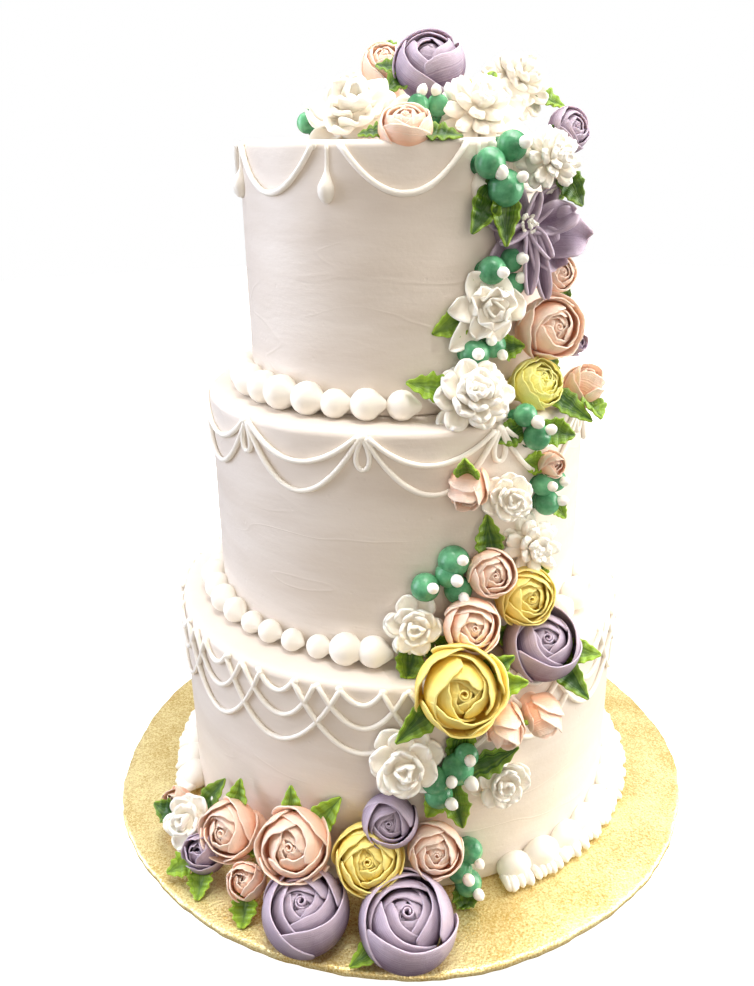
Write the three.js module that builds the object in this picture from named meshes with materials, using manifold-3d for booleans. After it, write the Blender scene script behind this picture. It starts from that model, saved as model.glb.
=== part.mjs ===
// A three-tier iced cake on a round gold board. Piped icing flowers run from the crown, down the side
// of the tiers and round to the front of the board. Millimetres, +Z up. The origin is the middle of
// the board's underside, and -Y is the front. A bearing is the angle in degrees round the cake's axis,
// from the front towards +X.
import * as THREE from 'three';
import { mergeVertices } from 'three/addons/utils/BufferGeometryUtils.js';
import Module from 'manifold-3d';

const wasm = await Module();
wasm.setup();

// Driving dimensions
const BOARD = { radius: 179, thick: 5, wave: 1.6, sides: 48 };
const SET_BACK = 6; // the cake stands this far behind the board's middle
const ICING = 4.5;
const TIN = { upper: 76.2, middle: 101.6, lower: 127 }; // radii of 6, 8 and 10 inch tins
const TIER_HEIGHT = { lower: 129, middle: 123, upper: 128 };
const GAP = 0.3; // clearance between pieces that touch
const EDGE_ROUND = 2;

// Worked out from them, above the board
const RADIUS = {
  upper: TIN.upper + ICING,
  middle: TIN.middle + ICING,
  lower: TIN.lower + ICING,
};
const FLOOR = {
  lower: 0,
  middle: TIER_HEIGHT.lower,
  upper: TIER_HEIGHT.lower + TIER_HEIGHT.middle,
};
const TOP = FLOOR.upper + TIER_HEIGHT.upper;

// Icing colours
const TONES = {
  ivory: 0xf4efe4,
  white: 0xfaf8f2,
  peach: 0xf0c3ae,
  yellow: 0xe9c95c,
  purple: 0x9d8fb3,
  jade: 0x3f9a6e,
  gold: 0xd9bd5a,
};

const cake = new THREE.Group();
cake.position.set(0, SET_BACK, BOARD.thick);
const part = new THREE.Group();
part.add(cake);

const radians = THREE.MathUtils.degToRad;

// Solids

// A closed geometry as a solid, with its faces turned outwards.
function solidOf(geometry) {
  const bare = geometry.clone();
  for (const name of Object.keys(bare.attributes)) {
    if (name !== 'position') bare.deleteAttribute(name);
  }
  const welded = mergeVertices(bare, 1e-4);
  const triVerts = new Uint32Array(welded.index.array);
  const make = () => new wasm.Manifold(new wasm.Mesh({
    numProp: 3,
    vertProperties: new Float32Array(welded.attributes.position.array),
    triVerts,
  }));
  const solid = make();
  if (solid.volume() > 0) return solid;
  for (let i = 0; i < triVerts.length; i += 3) {
    [triVerts[i + 1], triVerts[i + 2]] = [triVerts[i + 2], triVerts[i + 1]];
  }
  return make();
}

const join = (solids) => solids.reduce((whole, solid) => whole.add(solid));

// The largest body of a solid, without the scraps that a cut leaves.
function largestBody(solid) {
  const bodies = solid.decompose();
  return bodies.reduce((best, body) => (body.volume() > best.volume() ? body : best));
}

function meshOf(name, solid, tone, roughness = 0.55, metalness = 0) {
  const { vertProperties, triVerts } = solid.getMesh();
  const geometry = new THREE.BufferGeometry();
  geometry.setAttribute('position', new THREE.BufferAttribute(new Float32Array(vertProperties), 3));
  geometry.setIndex(new THREE.BufferAttribute(new Uint32Array(triVerts), 1));
  geometry.computeVertexNormals();
  const material = new THREE.MeshStandardMaterial({
    color: TONES[tone], roughness, metalness, flatShading: true,
  });
  const mesh = new THREE.Mesh(geometry, material);
  mesh.name = name;
  return mesh;
}

// A sphere whose vertices are moved to shape(turn, level): turn goes round it from 0 to 1, and level
// from 0 at the middle of its face to 1 at the middle of its back.
function shapedBall(around, levels, shape) {
  const geometry = new THREE.SphereGeometry(1, around, levels);
  const { position, uv } = geometry.attributes;
  for (let i = 0; i < position.count; i += 1) {
    const level = Math.round((1 - uv.getY(i)) * levels);
    const pole = level === 0 || level === levels;
    const turn = pole ? 0 : Math.round(uv.getX(i) * around) / around;
    const point = shape(turn % 1, level);
    position.setXYZ(i, point.x, point.y, point.z);
  }
  return geometry;
}

// A point at polar angle turn (0 to 1) and the given radius and height.
function polar(turn, radius, height) {
  const angle = turn * 2 * Math.PI;
  return new THREE.Vector3(radius * Math.cos(angle), radius * Math.sin(angle), height);
}

// Places round the cake

// A point at a bearing, a distance from the cake's axis and a height above the board.
function pointAt(bearing, distance, height) {
  const angle = radians(bearing);
  return new THREE.Vector3(distance * Math.sin(angle), -distance * Math.cos(angle), height);
}

// The axes of a piece that faces a bearing and rises above the horizon by rise degrees.
function facing(bearing, rise, spin = 0) {
  const out = pointAt(bearing, Math.cos(radians(rise)), Math.sin(radians(rise)));
  const right = pointAt(bearing + 90, 1, 0);
  const up = out.clone().cross(right);
  const turned = radians(spin);
  const x = right.clone().multiplyScalar(Math.cos(turned)).addScaledVector(up, Math.sin(turned));
  const y = out.clone().cross(x);
  return { x, y, out };
}

// Board: a card disc with a foil edge that waves a little
function board() {
  const outline = new THREE.Shape();
  for (let i = 0; i < BOARD.sides; i += 1) {
    const angle = (i / BOARD.sides) * 2 * Math.PI;
    const wave = Math.sin(5 * angle + 1) + 0.6 * Math.sin(9 * angle);
    const radius = BOARD.radius + (BOARD.wave * wave) / 1.6;
    const x = radius * Math.cos(angle);
    const y = radius * Math.sin(angle);
    if (i === 0) outline.moveTo(x, y);
    else outline.lineTo(x, y);
  }
  outline.closePath();
  const geometry = new THREE.ExtrudeGeometry(outline, {
    depth: BOARD.thick - GAP, bevelEnabled: false,
  });
  return meshOf('cake_board', solidOf(geometry), 'gold', 0.35, 0.8);
}

// Tiers, with the piped string work fused to their sides

// Facets round each wall. Those of the lower tiers have an edge at every joint of their string work.
const SIDES = { lower: 36, middle: 40, upper: 36 };
const MIDDLE_BAYS = { count: 10, first: -8.5 };
const LOWER_BAYS = { count: 18, first: -8 };
const FIRST_EDGE = { lower: LOWER_BAYS.first, middle: MIDDLE_BAYS.first, upper: 0 };

function tierBody(tier, clearance = 0) {
  const radius = RADIUS[tier] + clearance;
  const top = TIER_HEIGHT[tier] - GAP + 2 * clearance;
  const profile = [
    new THREE.Vector2(0, -clearance),
    new THREE.Vector2(radius, -clearance),
    new THREE.Vector2(radius, top - EDGE_ROUND),
    new THREE.Vector2(radius - EDGE_ROUND, top),
    new THREE.Vector2(0, top),
  ];
  const geometry = new THREE.LatheGeometry(profile, SIDES[tier]);
  geometry.rotateX(Math.PI / 2);
  geometry.rotateZ(radians(FIRST_EDGE[tier]));
  geometry.translate(0, 0, FLOOR[tier]);
  return solidOf(geometry);
}

// The mound of icing on the upper tier that carries the crown's flowers.
const MOUND = { x: 27, y: 8, long: 50, wide: 38, tall: 22, around: 12, levels: 4 };
function crownMound(clearance = 0) {
  const geometry = shapedBall(MOUND.around, MOUND.levels, (turn, level) => {
    const reach = [0, 0.55, 1, 0.9, 0][level];
    const height = [MOUND.tall, 0.72 * MOUND.tall, 0, -MOUND.tall, -MOUND.tall][level];
    const point = polar(turn, reach, height + clearance);
    point.x = MOUND.x + point.x * (MOUND.long + 2 * clearance);
    point.y = MOUND.y + point.y * (MOUND.wide + 2 * clearance);
    return point;
  });
  return solidOf(geometry.translate(0, 0, TOP - GAP));
}

// A ridge of icing on a tier's wall, from bearing to bearing, that hangs by drop in a parabola.
const STRAND = { width: 3, proud: 2, sunk: 0.6, below: 4, rings: 3 };

// The distance of a tier's flat facets from its axis at a bearing.
function facetDistance(tier, bearing) {
  const facet = 360 / SIDES[tier];
  const turns = (bearing - FIRST_EDGE[tier]) / facet;
  const fromMiddle = (turns - Math.floor(turns) - 0.5) * facet;
  return (RADIUS[tier] * Math.cos(radians(facet / 2))) / Math.cos(radians(fromMiddle));
}

function swag(tier, from, to, drop, steps, proud = STRAND.proud) {
  const wall = RADIUS[tier];
  const hangsFrom = FLOOR[tier] + TIER_HEIGHT[tier] - STRAND.below;
  const span = radians(to - from) * wall;
  const { rings } = STRAND;
  const geometry = shapedBall(rings, steps + 2, (turn, level) => {
    const share = THREE.MathUtils.clamp((level - 1) / steps, 0, 1);
    const bearing = from + (to - from) * share;
    const height = hangsFrom - drop * (1 - (2 * share - 1) ** 2);
    const base = facetDistance(tier, bearing) - STRAND.sunk;
    if (level === 0 || level === steps + 2) return pointAt(bearing, base, height);
    const place = Math.round(turn * rings);
    if (place === 0) return pointAt(bearing, wall + proud, height);
    const slope = (4 * drop * (2 * share - 1)) / span;
    const half = (STRAND.width / 2) * Math.hypot(1, slope);
    return pointAt(bearing, base, height + (place === 1 ? half : -half));
  });
  return solidOf(geometry);
}

// A drop of icing that hangs straight down at a bearing and swells at its foot.
const DROP = { levels: 3, down: [0, 0.5, 0.8, 1], swell: [0, 0.3, 0.5, 0], sunk: 0.4 };
function iceDrop(tier, bearing, { length, width, proud }) {
  const head = FLOOR[tier] + TIER_HEIGHT[tier] - STRAND.below;
  const geometry = shapedBall(4, DROP.levels, (turn, level) => {
    const angle = turn * 2 * Math.PI;
    const half = DROP.swell[level] * width;
    const side = THREE.MathUtils.radToDeg((half * Math.sin(angle)) / RADIUS[tier]);
    const depth = (half / width) * 2 * proud * Math.cos(angle) - DROP.sunk;
    return pointAt(bearing + side, RADIUS[tier] + depth, head - DROP.down[level] * length);
  });
  return solidOf(geometry);
}

// How far each tier's swags hang down, and its drops of icing
const HANG = {
  upper: { deep: 25, shallow: 21 },
  middle: { deep: 29, shallow: 14 },
  lower: { deep: 38, shallow: 8 },
};
const LONG_DROP = { length: 26, width: 8, proud: 3.4 };
const SHORT_DROP = { length: 15, width: 7, proud: 2.8 };

// Upper tier: one row of swags, hung by hand at uneven bearings, with a long drop at each joint
const UPPER_JOINTS = [-72, -22, 28, 80, 132, 184, 236];
function upperStrings() {
  return UPPER_JOINTS.flatMap((joint, i) => {
    const next = UPPER_JOINTS[i + 1] ?? UPPER_JOINTS[0] + 360;
    return [
      swag('upper', joint + 4, next - 4, i % 2 ? HANG.upper.shallow : HANG.upper.deep, 4),
      iceDrop('upper', joint, LONG_DROP),
    ];
  });
}

const bearingsOf = ({ count, first }) => (
  Array.from({ length: count }, (_, i) => first + (i * 360) / count)
);

// Middle tier: a shallow and a deep swag in each bay, with a short drop between bays
function middleStrings() {
  const bay = 360 / MIDDLE_BAYS.count;
  return bearingsOf(MIDDLE_BAYS).flatMap((joint) => [
    swag('middle', joint + 3, joint + bay - 3, HANG.middle.shallow, 3),
    swag('middle', joint, joint + bay, HANG.middle.deep, 4),
    iceDrop('middle', joint, SHORT_DROP),
  ]);
}

// Lower tier: a shallow swag in each bay, and a deep one that crosses into the bays beside it
function lowerStrings() {
  return bearingsOf(LOWER_BAYS).flatMap((middle, i) => [
    swag('lower', middle - 3.5, middle + 3.5, HANG.lower.shallow, 2, 1.6),
    swag('lower', middle - 15.5, middle + 15.5, HANG.lower.deep, 4, i % 2 ? 2 : 2.6),
  ]);
}

// Borders: a row of piped beads round the foot of each tier

// Beads in a full turn, their size, and the bearings between which the flowers leave the foot bare
const BORDERS = {
  lower: { count: 42, size: 15.5, from: 23, to: 293 },
  middle: { count: 44, size: 14.5, from: 50, to: 358 },
  upper: { count: 31, size: 16, from: 82, to: 367 },
};

// A chain of beads that swell and pinch in turn, against the wall and on the ledge under it.
const BEAD = {
  stations: 3,
  swell: [0.5, 1, 0.93],
  section: [[0, 0.05], [1, 0.35], [0, 0.95]], // out from the wall and up, in bead widths
};
function beadChain(tier) {
  const { count, size, from, to } = BORDERS[tier];
  const wall = RADIUS[tier] + GAP;
  const ledge = FLOOR[tier] + GAP;
  const beads = Math.round(((to - from) / 360) * count);
  const stations = beads * BEAD.stations;
  const corners = BEAD.section.length;
  const geometry = shapedBall(corners, stations + 2, (turn, level) => {
    const station = THREE.MathUtils.clamp(level - 1, 0, stations);
    const bearing = from + ((to - from) * station) / stations;
    if (level === 0 || level === stations + 2) return pointAt(bearing, wall + size / 2, ledge + size / 2);
    const bead = Math.floor(station / BEAD.stations);
    const uneven = 1 + 0.09 * Math.sin(bead * 2.4) + 0.05 * Math.sin(bead * 5.1);
    const scale = size * BEAD.swell[station % BEAD.stations] * uneven;
    const [out, up] = BEAD.section[Math.round(turn * corners)];
    return pointAt(bearing, wall + out * scale, ledge + up * scale);
  });
  return solidOf(geometry);
}

// Flowers. Each shape is drawn at unit radius, facing +Z, with its widest ring near the origin and its
// back at -foot. A ring is a radius and a height.

function ringed(around, rings, ruffle = () => [1, 0]) {
  return shapedBall(around, rings.length - 1, (turn, level) => {
    const [radius, height] = rings[level];
    const [open, lift] = ruffle(turn, level);
    return polar(turn, radius * open, height + lift);
  });
}

// A piped rose: whorls of petals that stand round a bud, each lip above the groove behind it.
function roseShape(foot) {
  const rings = [
    [0, 0.5], [0.25, 0.75], [0.4, 0.5], [0.64, 0.64], [0.76, 0.3], [1, 0.36], [0.7, -foot], [0, -foot],
  ];
  return ringed(9, rings, (turn, level) => {
    const wave = level < 6 ? Math.cos(2 * Math.PI * (3 * turn + level * 0.17)) : 0;
    return [1 + 0.06 * wave, level % 2 ? 0.07 * wave : 0];
  });
}

// A smaller rose with a single whorl.
function rosetteShape(foot) {
  const rings = [[0, 0.5], [0.3, 0.75], [0.48, 0.42], [1, 0.46], [0.7, -foot], [0, -foot]];
  return ringed(8, rings, (turn, level) => {
    const wave = level < 4 ? Math.cos(2 * Math.PI * (3 * turn + level * 0.17)) : 0;
    return [1 + 0.07 * wave, level % 2 ? 0.08 * wave : 0];
  });
}

// A bud: a furled cone of petals that is narrow at its foot.
function budShape(foot) {
  const rings = [[0, 0.8], [0.42, 1.02], [1, 0.2], [0.5, -foot], [0, -foot]];
  return ringed(7, rings, (turn, level) => [1, level === 1 ? 0.14 * Math.cos(4 * Math.PI * turn) : 0]);
}

// A pom-pom of pointed petals: rings of points that lie between those of the ring before.
function pomShape(foot) {
  const petals = 5;
  const rings = [[0, 0.62], [0.36, 0.66], [0.7, 0.44], [0.98, 0.05], [0.6, -foot], [0, -foot]];
  return ringed(petals * 2, rings, (turn, level) => {
    const point = level > 0 && level < 4 ? Math.cos(2 * Math.PI * petals * turn + Math.PI * level) : 0;
    return [1 + 0.13 * point, 0.06 * point];
  });
}

// An open flower of five wide petals round a low middle.
function openShape(foot) {
  const petals = 5;
  const rings = [[0, 0.2], [0.45, 0.14], [1, 0.38], [0.45, -foot], [0, -foot]];
  return ringed(petals * 2, rings, (turn, level) => {
    const tip = Math.cos(2 * Math.PI * petals * turn);
    return [level === 2 ? 0.86 + 0.14 * tip : 1, level === 2 ? -0.08 * tip : 0];
  });
}

// A star flower of six narrow folded petals.
function starShape(foot) {
  const petals = 6;
  const rings = [[0, 0.2], [0.3, 0.12], [1, 0.2], [0.35, -foot], [0, -foot]];
  return ringed(petals * 2, rings, (turn, level) => {
    const tip = Math.cos(2 * Math.PI * petals * turn);
    return [level === 2 ? 0.72 + 0.28 * tip : 1, 0];
  });
}

const SHAPES = {
  rose: roseShape,
  rosette: rosetteShape,
  bud: budShape,
  pom: pomShape,
  open: openShape,
  star: starShape,
};

// Moves the vertices that lie inside a tier or the board out to its nearest face, a little clear of it.
const CLEAR = 0.55;
function pressedOn(geometry) {
  const { position } = geometry.attributes;
  const point = new THREE.Vector3();
  for (let i = 0; i < position.count; i += 1) {
    point.fromBufferAttribute(position, i);
    for (const tier of ['upper', 'middle', 'lower']) {
      const distance = Math.hypot(point.x, point.y);
      const outwards = RADIUS[tier] + CLEAR - distance;
      const upwards = FLOOR[tier] + TIER_HEIGHT[tier] + CLEAR - point.z;
      const inside = outwards > 0 && upwards > 0 && point.z > FLOOR[tier] - CLEAR;
      if (inside && upwards < outwards) point.z += upwards;
      else if (inside) point.setX(point.x * (1 + outwards / distance)).setY(point.y * (1 + outwards / distance));
    }
    point.z = Math.max(point.z, CLEAR);
    position.setXYZ(i, point.x, point.y, point.z);
  }
  return geometry;
}

function turnedTo(axes, origin, geometry) {
  return geometry.applyMatrix4(
    new THREE.Matrix4().makeBasis(axes.x, axes.y, axes.out).setPosition(origin),
  );
}

// A point across and up from a bloom's middle, in its own axes.
function pointIn({ centre, axes }, x, y) {
  return centre.clone().addScaledVector(axes.x, x).addScaledVector(axes.y, y);
}

// A leaf: a thin folded blade that starts inside its flower and points away from it.
const LEAF = { levels: 3, thick: 1.5, root: 0.5, wide: 0.6, behind: 0.2 };
function leafShape(bloom, clock, length, growth = 0) {
  const { axes, radius } = bloom;
  const angle = radians(clock);
  const along = axes.x.clone().multiplyScalar(Math.cos(angle)).addScaledVector(axes.y, Math.sin(angle));
  const across = along.clone().cross(axes.out);
  const reach = radius * (1 - LEAF.root) + length + growth;
  const geometry = shapedBall(4, LEAF.levels, (turn, level) => {
    const share = level / LEAF.levels;
    const half = (length * LEAF.wide) / 2 + growth;
    const place = Math.round(turn * 4);
    const side = level === 0 || level === LEAF.levels ? 0 : [1, 0, -1, 0][place] * half;
    const thick = [0, 1, 0, -1][place] * (LEAF.thick / 2 + growth);
    const curl = 0.1 * length * (Math.sin(share * 5) + share * share);
    return new THREE.Vector3(side, share * reach, 0.45 * Math.abs(side) + curl + thick);
  });
  const root = radius * LEAF.root;
  const origin = bloom.centre.clone().addScaledVector(along, root)
    .addScaledVector(axes.out, -LEAF.behind * radius);
  return turnedTo({ x: across, y: along, out: axes.out }, origin, geometry);
}

// A cluster of round jade berries, each a ball of icing.
function berryBody(bloom) {
  return join(bloom.berries.map(([x, y, radius]) => {
    const rings = [[0, 1], [0.8, 0.62], [1, -0.2], [0, -bloom.foot / radius]];
    const ball = ringed(6, rings).scale(radius, radius, radius);
    return solidOf(pressedOn(turnedTo(bloom.axes, pointIn(bloom, x, y), ball)));
  }));
}

function bloomBody(bloom) {
  if (bloom.kind === 'berry') return berryBody(bloom);
  const { kind, radius, foot, centre, spun } = bloom;
  const shape = SHAPES[kind](foot / radius).scale(radius, radius, radius);
  return solidOf(pressedOn(turnedTo(spun, centre, shape)));
}

// A plain outline of a bloom, a little larger than it, that cuts what it covers.
function bloomCover(bloom, growth) {
  const { kind, radius, foot, centre, axes, berries = [] } = bloom;
  const reach = Math.max(radius, ...berries.map(([x, y, ball]) => Math.hypot(x, y) + ball));
  const size = reach * 1.12 + growth;
  const tall = { bud: 1.2, open: 0.5, star: 0.4 }[kind] ?? 0.9;
  const rings = [[0, tall], [0.86, 0.8 * tall], [1, 0.2], [1, -foot / size], [0, -foot / size]];
  return solidOf(turnedTo(axes, centre, ringed(8, rings).scale(size, size, size)));
}

// Everything on the far side of a plane, to cut with.
const FAR = 300;
function beyond(point, normal) {
  const turned = new THREE.Quaternion().setFromUnitVectors(new THREE.Vector3(0, 0, 1), normal);
  const geometry = new THREE.BoxGeometry(FAR, FAR, FAR).translate(0, 0, FAR / 2)
    .applyQuaternion(turned).translate(point.x, point.y, point.z);
  return solidOf(geometry);
}

// Where each bloom sits. at: bearing, distance from the axis, height above the board, diameter.
// face: turn from the bearing, rise above the horizon, spin. leaves: clock angle, length.
// Those named first lie over those named later.
const BLOOMS = [
  // On the crown
  {
    name: 'rose_purple_crown', kind: 'rose', tone: 'purple', at: [75, 19, 413, 34], face: [-78, 62, 20],
    leaves: [[188, 13], [150, 12]], foot: 33,
  },
  {
    name: 'pom_white_crown_front', kind: 'pom', tone: 'white', at: [45, 57, 393, 33], face: [-10, 42, 0],
    leaves: [[60, 11]], foot: 18,
  },
  {
    name: 'pom_white_crown_left', kind: 'pom', tone: 'white', at: [-24, 46, 392, 38], face: [10, 50, 15],
    leaves: [], foot: 16,
  },
  {
    name: 'rosette_peach_crown_front', kind: 'rosette', tone: 'peach', at: [4, 71, 384, 25],
    face: [0, 30, 0], leaves: [[178, 9], [345, 14]], foot: 12,
  },
  {
    name: 'berries_crown_front', kind: 'berry', tone: 'jade', at: [20, 47, 394, 18], face: [0, 50, 0],
    berries: [[-5, 0, 5.5], [5, 0, 5.5]], leaves: [], foot: 16,
  },
  {
    name: 'pom_white_crown_back', kind: 'pom', tone: 'white', at: [102, 68, 407, 32], face: [0, 55, 0],
    leaves: [[330, 12]], foot: 28,
  },
  {
    name: 'rosette_peach_crown_back', kind: 'rosette', tone: 'peach', at: [-168, 20, 415, 26],
    face: [150, 55, 0], leaves: [[95, 12]], foot: 34,
  },
  {
    name: 'rosette_yellow_crown', kind: 'rosette', tone: 'yellow', at: [110, 44, 398, 24],
    face: [30, 60, 0], leaves: [[120, 12]], foot: 18,
  },
  {
    name: 'berries_crown_left', kind: 'berry', tone: 'jade', at: [-75, 45, 388, 14], face: [0, 45, 0],
    berries: [[0, -1, 5.5], [5, 4, 5]], leaves: [], foot: 10,
  },
  {
    name: 'rosette_lilac_crown_right', kind: 'rosette', tone: 'purple', at: [74, 90, 382, 22],
    face: [0, 25, 0], leaves: [[200, 10]], foot: 14,
  },
  // On the upper tier's wall
  {
    name: 'berries_upper_high', kind: 'berry', tone: 'jade', at: [34, 88, 367, 30], face: [0, 5, 0],
    berries: [[-7.5, 2, 7.3], [5.5, 9, 7.3], [1, -9, 8.8]],
    leaves: [[243, 18], [272, 20]], foot: 14,
  },
  {
    name: 'pom_white_upper', kind: 'pom', tone: 'white', at: [49, 97, 370, 31], face: [0, 10, 10],
    leaves: [[300, 12]], foot: 22,
  },
  {
    name: 'star_purple_upper', kind: 'star', tone: 'purple', at: [44, 89, 340, 42], face: [5, 5, 10],
    leaves: [[35, 5]], foot: 12,
  },
  {
    name: 'bud_purple_upper', kind: 'bud', tone: 'purple', at: [70, 93, 331, 20], face: [10, 0, 30],
    leaves: [], foot: 16,
  },
  {
    name: 'rose_peach_upper', kind: 'rose', tone: 'peach', at: [52, 97, 291, 32], face: [-10, 12, 40],
    leaves: [[12, 8]], foot: 22,
  },
  {
    name: 'rosette_peach_upper', kind: 'rosette', tone: 'peach', at: [59, 94, 316, 20],
    face: [-10, 15, 0], leaves: [], foot: 18,
  },
  {
    name: 'berries_upper_middle', kind: 'berry', tone: 'jade', at: [37, 87, 320, 24], face: [0, 5, 0],
    berries: [[-8.5, 1.5, 7], [4, 5, 6], [5, -6.5, 5.8]],
    leaves: [[200, 9]], foot: 12,
  },
  {
    name: 'open_white_upper', kind: 'open', tone: 'white', at: [30, 89, 303, 29], face: [0, 12, 20],
    leaves: [[200, 12]], foot: 14,
  },
  // On the middle tier's ledge
  {
    name: 'pom_white_ledge', kind: 'pom', tone: 'white', at: [22, 99, 266, 42], face: [0, 35, 0],
    leaves: [[163, 12]], foot: 22,
  },
  {
    name: 'rosette_yellow_ledge', kind: 'rosette', tone: 'yellow', at: [46, 98, 265, 26],
    face: [0, 20, 0], leaves: [[35, 10], [318, 22]], foot: 17,
  },
  {
    name: 'bud_peach_ledge', kind: 'bud', tone: 'peach', at: [62, 109, 258, 21], face: [5, 40, 0],
    leaves: [[250, 12]], foot: 13,
  },
  {
    name: 'bud_purple_ledge', kind: 'bud', tone: 'purple', at: [66, 100, 279, 15], face: [10, 10, 0],
    leaves: [[150, 8]], foot: 20,
  },
  {
    name: 'berries_ledge_high', kind: 'berry', tone: 'jade', at: [28, 88, 284, 24], face: [0, 5, 0],
    berries: [[-4, -1, 7.5], [6.5, 2, 6.5]],
    leaves: [[5, 11]], foot: 12,
  },
  {
    name: 'berries_ledge_low', kind: 'berry', tone: 'jade', at: [37, 110, 249, 22], face: [0, 20, 0],
    berries: [[-3.5, 6, 6], [1, -5.5, 7]],
    leaves: [[190, 11], [340, 13]], foot: 12,
  },
  // On the middle tier's wall
  {
    name: 'bud_peach_middle', kind: 'bud', tone: 'peach', at: [18, 111, 225, 16], face: [-10, 10, 60],
    leaves: [[30, 10]], foot: 10,
  },
  {
    name: 'bud_peach_middle_small', kind: 'bud', tone: 'peach', at: [44, 111, 226, 11],
    face: [0, 10, 0], leaves: [[165, 10]], foot: 10,
  },
  {
    name: 'open_white_middle', kind: 'open', tone: 'white', at: [28, 116, 217, 28], face: [0, 12, 0],
    leaves: [], foot: 16,
  },
  {
    name: 'berries_middle_high', kind: 'berry', tone: 'jade', at: [43, 112, 213, 22], face: [0, 5, 0],
    berries: [[-4, 4, 6], [5.4, 4, 6], [-1.5, -6, 6.8]],
    leaves: [[300, 8]], foot: 12,
  },
  {
    name: 'pom_white_middle', kind: 'pom', tone: 'white', at: [36, 116, 187, 33], face: [0, 12, 12],
    leaves: [], foot: 18,
  },
  {
    name: 'rosette_peach_middle', kind: 'rosette', tone: 'peach', at: [23, 118, 180, 25],
    face: [0, 15, 0], leaves: [[92, 17]], foot: 18,
  },
  {
    name: 'berries_middle_low', kind: 'berry', tone: 'jade', at: [12, 111, 178, 28], face: [0, 5, 0],
    berries: [[4.8, 7.9, 8.3], [-9.8, -4.3, 7.5], [2.5, 1.5, 7.4], [6.8, -7.3, 7.4]],
    leaves: [], foot: 12,
  },
  {
    name: 'rose_yellow_middle', kind: 'rose', tone: 'yellow', at: [32, 121, 164, 30], face: [0, 15, 70],
    leaves: [[340, 9]], foot: 22,
  },
  {
    name: 'rosette_peach_middle_low', kind: 'rosette', tone: 'peach', at: [17, 124, 156, 28],
    face: [0, 20, 0], leaves: [], foot: 24,
  },
  // On the lower tier's ledge and wall
  {
    name: 'rose_purple_lower', kind: 'rose', tone: 'purple', at: [35, 128, 138, 38], face: [0, 25, 0],
    leaves: [[158, 10], [342, 14], [302, 17]], foot: 26,
  },
  {
    name: 'rose_yellow_lower', kind: 'rose', tone: 'yellow', at: [12, 142, 133, 43], face: [0, 22, 0],
    leaves: [[0, 13], [25, 10], [215, 19]], foot: 26,
  },
  {
    name: 'open_white_lower_left', kind: 'open', tone: 'white', at: [4, 117, 154, 28], face: [-5, 20, 0],
    leaves: [[262, 14], [318, 12]], foot: 16,
  },
  {
    name: 'bud_peach_lower', kind: 'bud', tone: 'peach', at: [21, 143, 110, 20], face: [15, -25, 0],
    leaves: [[320, 10]], foot: 15,
  },
  {
    name: 'bud_peach_lower_right', kind: 'bud', tone: 'peach', at: [31, 141, 107, 19],
    face: [10, -10, 0], leaves: [], foot: 14,
  },
  {
    name: 'pom_white_lower', kind: 'pom', tone: 'white', at: [1, 142, 91, 35], face: [-5, 15, 0],
    leaves: [], foot: 18,
  },
  {
    name: 'berries_lower', kind: 'berry', tone: 'jade', at: [11, 139, 80, 30], face: [0, 5, 0],
    berries: [[3, 4, 8.6], [-8.5, -1.3, 7.6], [-7, -9.5, 7.5], [7.5, 11, 6.5]],
    leaves: [[75, 18], [15, 22], [240, 12], [277, 15]], foot: 14,
  },
  {
    name: 'open_white_lower', kind: 'open', tone: 'white', at: [23, 136, 67, 30], face: [5, 0, 30],
    leaves: [], foot: 10,
  },
  // Round the foot, on the board
  {
    name: 'rose_yellow_base', kind: 'rose', tone: 'yellow', at: [-6, 152, 36, 38], face: [0, 32, 30],
    leaves: [], foot: 28,
  },
  {
    name: 'rosette_purple_base', kind: 'rosette', tone: 'purple', at: [-2, 143, 58, 27],
    face: [-5, 25, 0], leaves: [], foot: 20,
  },
  {
    name: 'rosette_peach_base', kind: 'rosette', tone: 'peach', at: [7, 148, 42, 28], face: [0, 25, 0],
    leaves: [], foot: 24,
  },
  {
    name: 'rose_peach_base', kind: 'rose', tone: 'peach', at: [-21, 152, 41, 39], face: [0, 35, 0],
    leaves: [[105, 10], [48, 14]], foot: 30,
  },
  {
    name: 'rose_purple_base_front', kind: 'rose', tone: 'purple', at: [1, 166, 17, 50],
    face: [0, 45, 0], leaves: [[212, 11]], foot: 20,
  },
  {
    name: 'rose_purple_base_left', kind: 'rose', tone: 'purple', at: [-17, 167, 15, 43],
    face: [0, 45, 50], leaves: [], foot: 18,
  },
  {
    name: 'berries_base', kind: 'berry', tone: 'jade', at: [14, 142, 21, 24], face: [0, 15, 0],
    berries: [[3.2, 10, 7], [1, -7.6, 7.5], [-3, 0, 7]],
    leaves: [[268, 16]], foot: 14,
  },
  {
    name: 'rose_peach_base_left', kind: 'rose', tone: 'peach', at: [-38, 150, 30, 33],
    face: [-10, 25, 0], leaves: [[88, 11], [335, 8]], foot: 24,
  },
  {
    name: 'bud_peach_base', kind: 'bud', tone: 'peach', at: [-30, 162, 15, 22], face: [0, 50, 0],
    leaves: [[280, 13]], foot: 14,
  },
  {
    name: 'bud_purple_base', kind: 'bud', tone: 'purple', at: [-42, 161, 15, 24], face: [-5, 50, 0],
    leaves: [[222, 12], [285, 13]], foot: 14,
  },
  {
    name: 'open_white_base', kind: 'open', tone: 'white', at: [-49, 157, 22, 31], face: [0, 45, 0],
    leaves: [[70, 11], [182, 12]], foot: 22,
  },
  {
    name: 'bud_peach_base_left', kind: 'bud', tone: 'peach', at: [-60, 152, 14, 18], face: [0, 45, 0],
    leaves: [], foot: 14,
  },
].map((bloom) => {
  const [bearing, distance, height, diameter] = bloom.at;
  const [turn, rise, spin] = bloom.face;
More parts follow.
